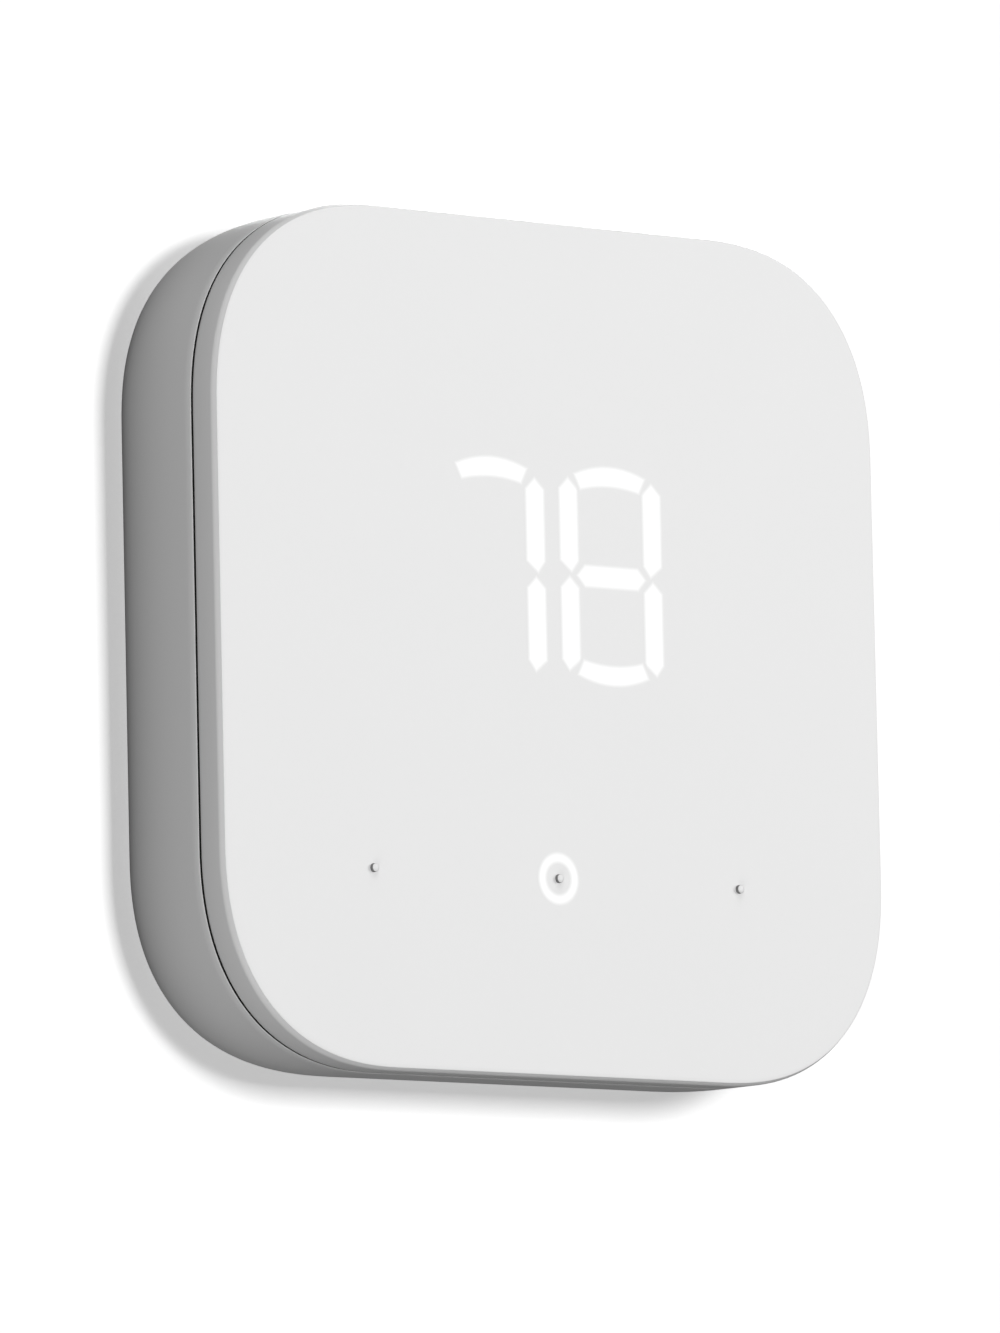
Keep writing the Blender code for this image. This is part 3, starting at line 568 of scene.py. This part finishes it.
def insideBy(points, x, z):  # how far inside an outline a point lies, negative outside it
    nearest = 1.0
    inside = False
    for (u, v), (p, q) in zip(points, points[1:] + points[:1]):
        share = ((x - u) * (p - u) + (z - v) * (q - v)) / ((p - u) ** 2 + (q - v) ** 2)
        share = min(max(share, 0.0), 1.0)
        nearest = min(nearest, math.hypot(x - u - share * (p - u), z - v - share * (q - v)))
        if (v > z) != (q > z) and x < u + (p - u) * (z - v) / (q - v):
            inside = not inside
    return nearest if inside else -nearest


def screwPlace(name):  # where a screw stands, and the radius of the hole for its shank
    low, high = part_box(name)
    shank = (high.x - low.x) / 4  # half its head's radius
    return (low.x + high.x) / 2, (low.z + high.z) / 2, shank + cover["screwFit"]


def frontCover():
    mesh = bmesh.new()
    glow = mesh.verts.layers.float.new("glow")
    gap = mesh.verts.layers.float.new("gap")
    marks = markCentres()
    keyX, keyZ = marks[1]
    guideX = keyX - cover["printShift"]
    steep = cover["markSteep"]
    hair = 0.001 * mm  # slack when a height is compared
    sliver = 0.01  # and when a share of a mark's radius is

    def faceHeight(x, z):
        for markX, markZ in marks:
            away = math.hypot(x - markX, z - markZ) / cover["markRadius"]
            if away < steep + sliver / 10:
                crown = cover["markCrown"] * math.sqrt(max(0.0, 1 - (away / steep) ** 2))
                return faceY - cover["markHeight"] + cover["markCrown"] - crown
        return faceY

    skin = [ring(mesh, shellOutline(cover["edgeInset"] + cover["faceRim"]), faceY)]
    for inset, rise in edgeProfile():
        skin.append(ring(mesh, shellOutline(inset), faceY + rise))
    skin.append(ring(mesh, shellOutline(0.0), seamY - cover["lip"] - cover["seamRim"]))
    for inset, rise in quarterArc(cover["lip"], 3)[::-1]:
        skin.append(ring(mesh, shellOutline(inset), seamY - rise))
    tongue = cover["wall"] + cover["slack"]
    inner = tongue + cover["tongueWall"]
    # The inside of the seam, from the lip to the tongue, gets painted shade
    dark = [ring(mesh, shellOutline(cover["lip"]), seamY)]
    for inset, y in ((tongue, seamY), (tongue, seamY + cover["tongueLong"])):
        dark.append(ring(mesh, shellOutline(inset), y))
    for loop in dark:
        for vert in loop:
            vert[gap] = 1.0
    skin += dark
    for inset, y in ((inner, seamY + cover["tongueLong"]), (inner, faceY + cover["faceThick"])):
        skin.append(ring(mesh, shellOutline(inset), y))
    chain(mesh, skin)

    soft = digits["soft"]
    windows = segmentOutlines()
    creases = []
    for points in windows:
        creases += [grown(points, soft), grown(points, -soft)]
    for radius in (cover["ringOuter"], cover["ringInner"]):
        creases += [circle(radius + edge, cover["glowSides"], keyX, keyZ) for edge in (soft, -soft)]
    for markX, markZ in marks:
        for share in (*cover["markFoot"], steep, *cover["markTop"]):
            creases.append(circle(cover["markRadius"] * share, cover["markSides"], markX, markZ))
    fillAround(mesh, skin[0], [], creases, faceHeight)
    for vert in mesh.verts:
        if vert.co.y > faceY + hair:
            continue
        x, z = vert.co.x, vert.co.z
        away = math.hypot(x - keyX, z - keyZ)
        depths = [insideBy(points, x, z) for points in windows]
        depths.append(min(cover["ringOuter"] - away, away - cover["ringInner"]))
        vert[glow] = min(max((max(depths) + soft) / (2 * soft), 0.0), 1.0)
        # The steep sides of the touch marks get painted shade
        nearest = min(math.hypot(x - markX, z - markZ) for markX, markZ in marks) / cover["markRadius"]
        vert[gap] = cover["markPaintedShade"] if steep - sliver < nearest < 1 + sliver else 0.0

    skinY = faceY + cover["skin"]
    ceilingY = faceY + cover["faceThick"]
    posts = []
    lengths = {f"board_screw_{side}": cover["boardBoss"] for side in ("left", "right")}
    lengths.update({f"case_screw_{number}": cover["caseBoss"] for number in (1, 2, 3, 4)})
    for name, length in lengths.items():
        x, z, hole = screwPlace(name)
        posts.append((x, z, hole, hole + cover["bossWall"], length))
    guide = [circle(cover["ringOuter"], cover["guideSides"], guideX, keyZ)]
    sockets = [circle(outer, cover["postSides"], x, z) for x, z, hole, outer, length in posts]
    loops = fillAround(mesh, skin[-1], windows + guide + sockets, [], lambda x, z: ceilingY)
    for loop, points in zip(loops, windows):
        mesh.faces.new(chain(mesh, [loop, ring(mesh, points, skinY)]))
    plug = circle(cover["ringInner"], cover["guideSides"], guideX, keyZ)
    mesh.faces.new(chain(mesh, [loops[len(windows)], ring(mesh, guide[0], skinY), ring(mesh, plug, skinY),
                                ring(mesh, plug, ceilingY)]))
    for loop, (x, z, hole, outer, length) in zip(loops[len(windows) + 1:], posts):
        bore = circle(hole, cover["postSides"], x, z)
        end = ceilingY + length
        rings = [loop, ring(mesh, circle(outer, cover["postSides"], x, z), end), ring(mesh, bore, end)]
        mesh.faces.new(chain(mesh, rings + [ring(mesh, bore, ceilingY + cover["boreFloor"])]))
    made = toObject("frontCover", mesh, litWhite())
    standIn(made, "display_unit", "front_cover")
    print("front cover made:", len(made.data.polygons), "faces")


frontCover()


# Rear case: draws in towards the wall, vents in its top and bottom, a recess for the wall plate in its back

case = {
    "taper": 5.1 * mm,
    "power": 3.2,  # 2 is a quarter ellipse, more keeps the side straight for longer
    "fullness": 0.98,  # share of that quarter that the taper follows
    "taperSteps": 22,
    "levelGap": 0.2 * mm,  # the least distance from the taper's last level inside to the back
    "wall": 1.8 * mm,
    "rim": 1.6 * mm,  # thickness of the back
    "floor": 1.4 * mm,
    "floorClear": 0.3 * mm,  # from the floor to the levers behind it
    "recessClear": 0.6 * mm,  # round the wall plate
    "recessWall": 1.3 * mm,
    "recessCorner": 8.6 * mm,
    "headerClear": 0.4 * mm,  # round the pin headers
    "headerCorner": 0.5 * mm,
    "postFit": 0.3 * mm,  # how far the screws' posts reach into the floor and stay short of the board
    "ventCount": 9,
    "ventPitch": 3.4 * mm,
    "ventWide": 1.4 * mm,
    "ventNear": 3.6 * mm,  # the slots' ends, from the wall
    "ventFar": 7.6 * mm,
}


def drawnIn(y):
    along = (y - caseLow.y) / (caseHigh.y - caseLow.y)
    power, whole = case["power"], case["fullness"]
    drawn = 1 - (1 - (min(max(along, 0.0), 1.0) * whole) ** power) ** (1 / power)
    return case["taper"] * drawn / (1 - (1 - whole ** power) ** (1 / power))


def prism(points, axis, near, far):  # points are (x, z) pushed along y, or (x, y) pushed along z
    mesh = bmesh.new()
    ends = []
    for level in (near, far):
        ends.append([mesh.verts.new((u, level, v) if axis == "y" else (u, v, level)) for u, v in points])
    bridge(mesh, *ends)
    mesh.faces.new(ends[0])
    mesh.faces.new(ends[1])
    return mesh


def combine(target, shapes, operation):
    whole = bmesh.new()
    for shape in shapes:
        bmesh.ops.recalc_face_normals(shape, faces=shape.faces)
        data = bpy.data.meshes.new("tool")
        shape.to_mesh(data)
        shape.free()
        whole.from_mesh(data)
        bpy.data.meshes.remove(data)
    data = bpy.data.meshes.new("tool")
    whole.to_mesh(data)
    whole.free()
    tool = bpy.data.objects.new("tool", data)
    bpy.context.scene.collection.objects.link(tool)
    modifier = target.modifiers.new("combine", "BOOLEAN")
    modifier.operation = operation
    modifier.solver = "EXACT"
    modifier.object = tool
    graph = bpy.context.evaluated_depsgraph_get()
    result = bpy.data.meshes.new_from_object(target.evaluated_get(graph))
    target.modifiers.clear()
    target.data = result
    bpy.data.objects.remove(tool)


def recessOutline(wall):
    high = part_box("wall_plate")[1]
    grow = case["recessClear"] + wall
    return softSquare(high.x + grow, high.z + grow, case["recessCorner"] + wall, steps=36)


def ventOutline(x):
    half = case["ventWide"] / 2
    near = -case["ventFar"] + half
    far = -case["ventNear"] - half
    points = []
    steps = 8
    for middle, start in ((far, 0.0), (near, math.pi)):
        for step in range(steps + 1):
            turn = start + math.pi * step / steps
            points.append((x + half * math.cos(turn), middle + half * math.sin(turn)))
    return points


def rearCase():
    mesh = bmesh.new()
    gap = mesh.verts.layers.float.new("gap")
    frontY, backY = caseLow.y, caseHigh.y
    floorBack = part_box("terminal_lever_left_1")[0].y - case["floorClear"]
    floorFront = floorBack - case["floor"]
    rimFront = backY - case["rim"]
    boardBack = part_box("relay_board")[1].y
    levels = []
    for step in range(case["taperSteps"] + 1):
        levels.append(frontY + (backY - frontY) * math.sin(math.pi / 2 * step / case["taperSteps"]))
    inside = [ring(mesh, recessOutline(case["recessWall"]), y) for y in (floorFront, rimFront)]
    inside.append(ring(mesh, shellOutline(case["wall"] + drawnIn(rimFront)), rimFront))
    for y in reversed([level for level in levels if level < rimFront - case["levelGap"]]):
        inside.append(ring(mesh, shellOutline(case["wall"] + drawnIn(y)), y))
    # The case's rim inside the seam gets painted shade
    seam = [inside[-1], ring(mesh, shellOutline(cover["lip"]), frontY)]
    for vert in seam[0] + seam[1]:
        vert[gap] = 1.0
    inside.append(seam[1])
    outside = [ring(mesh, shellOutline(inset), frontY + rise) for inset, rise in quarterArc(cover["lip"], 3)]
    for y in [level for level in levels if level > frontY + 1.5 * cover["lip"]]:
        outside.append(ring(mesh, shellOutline(drawnIn(y)), y))
    outside += [ring(mesh, recessOutline(0.0), y) for y in (backY, floorBack)]
    rings = inside + outside
    chain(mesh, rings)
    mesh.faces.new(rings[0])
    mesh.faces.new(rings[-1])
    made = toObject("rearCase", mesh, mouldedPlastic("shellWhiteSeamShade", shellWhite, True))
    screws = [screwPlace(f"case_screw_{number}") for number in (1, 2, 3, 4)]
    sides, fit = cover["postSides"], case["postFit"]
    posts = []
    cuts = []
    for x, z, hole in screws:
        post = circle(hole + cover["bossWall"], sides, x, z)
        posts.append(prism(post, "y", floorFront + fit, boardBack + fit))
        cuts.append(prism(circle(hole, sides, x, z), "y", floorBack + mm, boardBack))
    combine(made, posts, "UNION")
    for side in ("left", "right"):
        low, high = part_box(f"pin_header_{side}")
        clear = case["headerClear"]
        slot = softSquare((high.x - low.x) / 2 + clear, (high.z - low.z) / 2 + clear, case["headerCorner"],
                          steps=4)
        slot = [(x + (low.x + high.x) / 2, z + (low.z + high.z) / 2) for x, z in slot]
        cuts.append(prism(slot, "y", floorFront - mm, floorBack + mm))
    for index in range(case["ventCount"]):
        x = (index - (case["ventCount"] - 1) / 2) * case["ventPitch"]
        deep = outline["halfHigh"] - case["wall"] - case["taper"]
        for side in (-1, 1):
            cuts.append(prism(ventOutline(x), "z", side * deep, side * (outline["halfHigh"] + mm)))
    combine(made, cuts, "DIFFERENCE")
    smoothed(made.data)
    standIn(made, "display_unit", "rear_case")
    print("rear case made:", len(made.data.polygons), "faces")


rearCase()


# Screws with a domed head, a cross recess and a thread, in ribbed wall anchors with a slit

fixings = {
    "sides": 32,
    "headTall": {"wall_screw": 2.2 * mm, "case_screw": 1.5 * mm, "board_screw": 1.2 * mm},
    "shank": {"wall_screw": 2.1 * mm, "case_screw": 1.1 * mm, "board_screw": 0.8 * mm},
    # shares of the head's radius
    "headRim": 0.55,
    "headFoot": 0.96,
    "crossReach": 0.50,
    "crossArm": 0.12,
    # shares of the head's height
    "headDome": 0.7,
    "headEdge": 0.12,
    "crossDeep": 0.55,
    # shares of the shank's radius
    "threadPitch": 0.62,
    "threadDeep": 0.16,
    "pointLong": 1.6,
    "pointWide": 0.35,
    "tipWide": 0.12,
    "headTurns": (0.0, 0.35, 0.7, 1.05, 1.4),  # angles at which the dome has vertices
    "crossNarrow": (0.62, 0.8),  # how much shorter and slimmer the cross is at its bottom
    "threadSteps": 5,
    "threadSharp": 0.8,  # 1 is a straight flank, less is a slimmer crest
}
anchor = {
    "bore": 2.4 * mm,
    "body": 3.1 * mm,
    "flange": 0.6 * mm,
    "flangeEdge": 0.2 * mm,
    "neck": 1.8 * mm,  # from the flange's face to the first rib
    "ribs": 7,
    "ribDeep": 0.35 * mm,
    "ribRise": (0.15, 0.85),  # where a rib starts and ends its rise, shares of its length
    "ribDraw": 0.15,  # how much slimmer the last rib is
    "tail": 2.0 * mm,  # from the last rib to the end
    "tailWide": (0.82, 0.80, 0.95),  # body before the end, body at the end and bore at the end, as shares
    "tailEdge": 0.3 * mm,
    "slit": 1.0 * mm,
    "slitFrom": 11.0 * mm,
    "slitTo": 3.0 * mm,  # from the end
}


def crossOutline(x, z, reach, arm):
    quarter = [(reach, -arm), (reach, arm), (arm, arm)]
    points = []
    for step in range(4):  # a quarter turn each
        points += [(x + u, z + v) for u, v in quarter]
        quarter = [(-v, u) for u, v in quarter]
    return points


def thread(mesh, x, z, shank, tall, long, level):  # rings from under the head to the point, in a helix
    steps, sides, blunt = fixings["threadSteps"], fixings["sides"], fixings["pointWide"]
    pitch = fixings["threadPitch"] * shank
    rings = []
    for step in range(int((long - tall - 2 * pitch) / pitch * steps)):
        down = tall + pitch + step * pitch / steps
        slim = blunt + (1 - blunt) * (long - down) / (fixings["pointLong"] * shank)
        loop = []
        for side in range(sides):
            turn = 2 * math.pi * side / sides
            crest = 1 - 2 * abs((step / steps + side / sides) % 1.0 - 0.5)
            groove = fixings["threadDeep"] * (1 - crest) ** fixings["threadSharp"]
            radius = shank * min(1.0, slim) * (1 - groove)
            loop.append((x + radius * math.cos(turn), z + radius * math.sin(turn)))
        rings.append(ring(mesh, loop, level(down)))
    return rings


def turnedScrew(name, number, body, facing):  # facing is -1 for a head towards the room, 1 towards the wall
    whole = f"{name}_{number}"
    low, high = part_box(whole)
    x, z = (low.x + high.x) / 2, (low.z + high.z) / 2
    head = (high.x - low.x) / 2
    tall, shank = fixings["headTall"][name], fixings["shank"][name]
    top, tip = (low.y, high.y) if facing < 0 else (high.y, low.y)
    sides = fixings["sides"]
    mesh = bmesh.new()

    def level(down):
        return top - facing * down

    rims = []
    rim, turns = fixings["headRim"], fixings["headTurns"]
    for turn in turns:
        radius = head * (rim + (1 - rim) * math.sin(turn) / math.sin(turns[-1]))
        down = fixings["headDome"] * tall * (1 - math.cos(turn))
        rims.append(ring(mesh, circle(radius, sides, x, z), level(down)))
    rims.append(ring(mesh, circle(head, sides, x, z), level(tall - fixings["headEdge"] * tall)))
    rims.append(ring(mesh, circle(head * fixings["headFoot"], sides, x, z), level(tall)))
    rims.append(ring(mesh, circle(shank, sides, x, z), level(tall)))
    long = abs(tip - top)
    rims += thread(mesh, x, z, shank, tall, long, level)
    rims.append(ring(mesh, circle(shank * fixings["tipWide"], sides, x, z), level(long)))
    mesh.faces.new(chain(mesh, rims))
    reach, arm = fixings["crossReach"] * head, fixings["crossArm"] * head
    shorter, slimmer = fixings["crossNarrow"]
    narrow = crossOutline(x, z, reach * shorter, arm * slimmer)
    opening = fillAround(mesh, rims[0], [crossOutline(x, z, reach, arm)], [], lambda u, v: top)
    mesh.faces.new(chain(mesh, [opening[0], ring(mesh, narrow, level(fixings["crossDeep"] * tall))]))
    made = toObject(f"{name}{number}".replace("_", ""), mesh, slotLooks["screw_steel"])
    standIn(made, body, whole)


def wallAnchor(side):
    low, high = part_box(f"wall_anchor_{side}")
    z = (low.z + high.z) / 2
    bore, body, flange, edge = anchor["bore"], anchor["body"], anchor["flange"], anchor["flangeEdge"]
    ribFrom, ribTo = low.y + anchor["neck"], high.y - anchor["tail"]
    profile = [(bore, low.y), (high.x - edge, low.y), (high.x, low.y + edge), (high.x, low.y + flange),
               (body, low.y + flange), (body, ribFrom)]
    ribLong = (ribTo - ribFrom) / anchor["ribs"]
    riseFrom, riseTo = anchor["ribRise"]
    for rib in range(anchor["ribs"]):
        near = ribFrom + rib * ribLong
        slim = body * (1 - anchor["ribDraw"] * rib / anchor["ribs"])
        profile += [(slim - anchor["ribDeep"], near + riseFrom * ribLong), (slim, near + riseTo * ribLong),
                    (slim, near + ribLong)]
    before, end, boreEnd = anchor["tailWide"]
    profile += [(body * before, high.y - anchor["tailEdge"]), (body * end, high.y), (bore * boreEnd, high.y)]
    mesh = bmesh.new()
    rings = [ring(mesh, circle(radius, fixings["sides"], 0.0, z), y) for radius, y in profile]
    chain(mesh, rings + rings[:1])
    made = toObject(f"wallAnchor{side.title()}", mesh, slotLooks["anchor_nylon"])
    half, reach = anchor["slit"] / 2, 2 * body
    slit = [(-reach, z - half), (reach, z - half), (reach, z + half), (-reach, z + half)]
    combine(made, [prism(slit, "y", low.y + anchor["slitFrom"], high.y - anchor["slitTo"])], "DIFFERENCE")
    smoothed(made.data, 30)
    standIn(made, "wall_side", f"wall_anchor_{side}")


def hardware():
    for side in ("top", "bottom"):
        turnedScrew("wall_screw", side, "wall_side", -1)
        wallAnchor(side)
    for number in (1, 2, 3, 4):
        turnedScrew("case_screw", number, "display_unit", 1)
    for side in ("left", "right"):
        turnedScrew("board_screw", side, "display_unit", 1)
    print("screws and anchors made")


hardware()


# Pieces that keep their own mesh get soft moulded or folded edges

softEdges = {  # the rounding's width on the pieces of each material
    "plate_grey": 0.30 * mm,
    "terminal_black": 0.22 * mm,
    "lever_grey": 0.30 * mm,
    "black_plastic": 0.18 * mm,
    "relay_blue": 0.30 * mm,
    "light_box_white": 0.15 * mm,
    "tinned_can": 0.15 * mm,
    "contact_bronze": 0.07 * mm,
    "circuit_board": 0.06 * mm,
    "clear_guide": 0.10 * mm,
}
weldWithin = 0.01 * mm
softFrom = math.radians(50)  # edges steeper than this are rounded


def softenPieces():
    count = 0
    for name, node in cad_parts.items():
        wide = softEdges.get(slotNames[name])
        if not wide or node.hide_render:  # the rest stays as it is, or has a stand-in
            continue
        weld = node.modifiers.new("weld", "WELD")
        weld.merge_threshold = weldWithin
        soft = node.modifiers.new("soft", "BEVEL")
        soft.width = wide
        soft.segments = 3
        soft.limit_method = "ANGLE"
        soft.angle_limit = softFrom
        soft.harden_normals = True
        count += 1
    print("edges softened:", count, "pieces")


softenPieces()


# Stage: a pale wall behind and a pale floor below, in metres

stage = {
    "paint": (0.86, 0.86, 0.86),
    "paintCloud": 0.995,  # its darker patches, as a share
    "paintCloudSize": 0.3,
    "paintRough": 0.8,
    "paintRoughSpread": 0.05,
    "glow": 0.47,  # what a shadow on the wall keeps
    "floorDown": 0.62,
    "floorHalf": 3.0,
    "wallWide": 2.4,
    "wallHigh": 2.2,
    "wallSkim": -0.01 * mm,  # the wall's surface, a hair in front of the plate's back
}


def plainSurface(name, seeThroughBack=False):
    look = Look(name, {"Specular IOR Level": 0.2, "Emission Strength": stage["glow"]})
    cloud = look.noise(stage["paintCloudSize"])
    look.set(Base_Color=look.tint(cloud, shade(stage["paint"], stage["paintCloud"]), stage["paint"]))
    look.set(Roughness=stage["paintRough"] + stage["paintRoughSpread"] * cloud)
    look.set(Emission_Color=(1.0, 1.0, 1.0, 1.0))
    if seeThroughBack:  # the wall shows only from the room, so that the thermostat's back can be seen
        behind = look.node("ShaderNodeNewGeometry", output="Backfacing")
        clear = look.node("ShaderNodeBsdfTransparent")
        solid = Wire(look, look.shader.outputs[0])
        mixed = look.node("ShaderNodeMixShader", {}, {0: behind, 1: solid, 2: clear})
        look.feed(look.tree.nodes["Material Output"].inputs[0], mixed)
    return look.material


def stagePlane(name, corners, material):
    data = bpy.data.meshes.new(name)
    data.from_pydata(corners, [], [(0, 1, 2, 3)])
    data.materials.append(material)
    made = bpy.data.objects.new(name, data)
    bpy.context.scene.collection.objects.link(made)
    made.visible_diffuse = False  # a backdrop only: it throws no light back on the thermostat
    made.visible_glossy = False
    made.visible_transmission = False
    made.visible_shadow = False
    return made


def buildStage():
    wide, low, skim, half = stage["wallWide"] / 2, -stage["floorDown"], stage["wallSkim"], stage["floorHalf"]
    high = low + stage["wallHigh"]
    wall = [(-wide, skim, low), (wide, skim, low), (wide, skim, high), (-wide, skim, high)]
    floor = [(-half, -half, low), (half, -half, low), (half, half, low), (-half, half, low)]
    stagePlane("wall", wall, plainSurface("wallPaint", True))
    stagePlane("floor", floor, plainSurface("floorPaint"))
    print("stage made")


buildStage()


# Lights: soft ones all round the thermostat, and one that throws its shadow on the wall

lights = {
    # name: azimuth and elevation that it shines from, its side in metres, its watts, what it lights
    "leftFront": (-32, 0, 0.8, 9.6, "thermostat"),
    "aboveLeft": (-45, 45, 0.8, 4.5, "thermostat"),
    "lowLeft": (-60, -45, 0.8, 6.8, "thermostat"),
    "right": (45, 10, 0.8, 11.0, "thermostat"),
    "top": (0, 70, 0.8, 8.8, "thermostat"),
    "front": (-8, -3, 0.25, 4.0, "thermostat"),
    "below": (0, -75, 0.8, 2.2, "thermostat"),
    "behind": (130, 30, 0.8, 14.0, "thermostat"),
    "shadow": (-9.0, 1.8, 0.36, 16.5, "stage"),
}
studio = {
    "lightsAway": 1.6,
    "shadowTall": 0.6,  # the height of the light that throws the shadow, as a share of its width
    "seen": 1.0,  # how bright the backdrop looks
    "ambient": 0.02,  # how much it lights
}


def aimed(place, target):
    return (Vector(place) - Vector(target)).to_track_quat("Z", "Y")


def towards(azimuth, elevation):
    turn, lift = math.radians(azimuth), math.radians(elevation)
    return Vector((math.sin(turn) * math.cos(lift), -math.cos(turn) * math.cos(lift), math.sin(lift)))


def litGroup(name, state):  # the stage alone, or all but the stage
    group = bpy.data.collections.new(name)
    for surface in ("wall", "floor"):
        group.objects.link(bpy.data.objects[surface])
    for member in group.collection_objects:
        member.light_linking.link_state = state
    return group


def buildLights():
    groups = {"thermostat": litGroup("notStage", "EXCLUDE"), "stage": litGroup("onlyStage", "INCLUDE")}
    for name, (azimuth, elevation, side, watts, lit) in lights.items():
        data = bpy.data.lights.new(name, "AREA")
        data.shape = "RECTANGLE"
        data.size = side
        data.size_y = side * (studio["shadowTall"] if lit == "stage" else 1.0)
        data.energy = watts
        made = bpy.data.objects.new(name, data)
        made.location = towards(azimuth, elevation) * studio["lightsAway"]
        made.rotation_mode = "QUATERNION"
        made.rotation_quaternion = aimed(made.location, (0, 0, 0))
        made.light_linking.receiver_collection = groups[lit]
        bpy.context.scene.collection.objects.link(made)
    sky = bpy.data.worlds.new("studio")
    sky.use_nodes = True
    tree = sky.node_tree
    back = tree.nodes["Background"]
    path = tree.nodes.new("ShaderNodeLightPath")
    level = tree.nodes.new("ShaderNodeMapRange")
    level.inputs["To Min"].default_value = studio["ambient"]
    level.inputs["To Max"].default_value = studio["seen"]
    back.inputs["Color"].default_value = (1, 1, 1, 1)
    tree.links.new(path.outputs["Is Camera Ray"], level.inputs[0])
    tree.links.new(level.outputs[0], back.inputs["Strength"])
    bpy.context.scene.world = sky
    bpy.context.scene.view_settings.view_transform = "Standard"
    print("lights made:", len(lights))


buildLights()


camera = {
    "azimuth": -40.39,  # degrees, from the face's own direction
    "elevation": -6.56,
    "distance": 1.3274,
    "lens": 342.4,
    "right": 5.86 * mm,  # how far right of the frame's middle the face's centre stands
    "up": 1.83 * mm,
    "roll": 1.243,
}


def buildCamera():
    data = bpy.data.cameras.new("camera")
    data.lens = camera["lens"]
    data.sensor_width = 36.0
    data.clip_start = 0.01
    back = towards(camera["azimuth"], camera["elevation"])
    right = Vector((0, 0, 1)).cross(back).normalized()
    up = back.cross(right)
    centre = Vector((0.0, faceY, 0.0))
    eye = centre + back * camera["distance"]
    target = centre - right * camera["right"] - up * camera["up"]
    made = bpy.data.objects.new("camera", data)
    roll = Matrix.Rotation(-math.radians(camera["roll"]), 4, "Z")
    made.matrix_world = Matrix.Translation(eye) @ aimed(eye, target).to_matrix().to_4x4() @ roll
    bpy.context.scene.collection.objects.link(made)
    bpy.context.scene.camera = made
    print("camera made")


buildCamera()
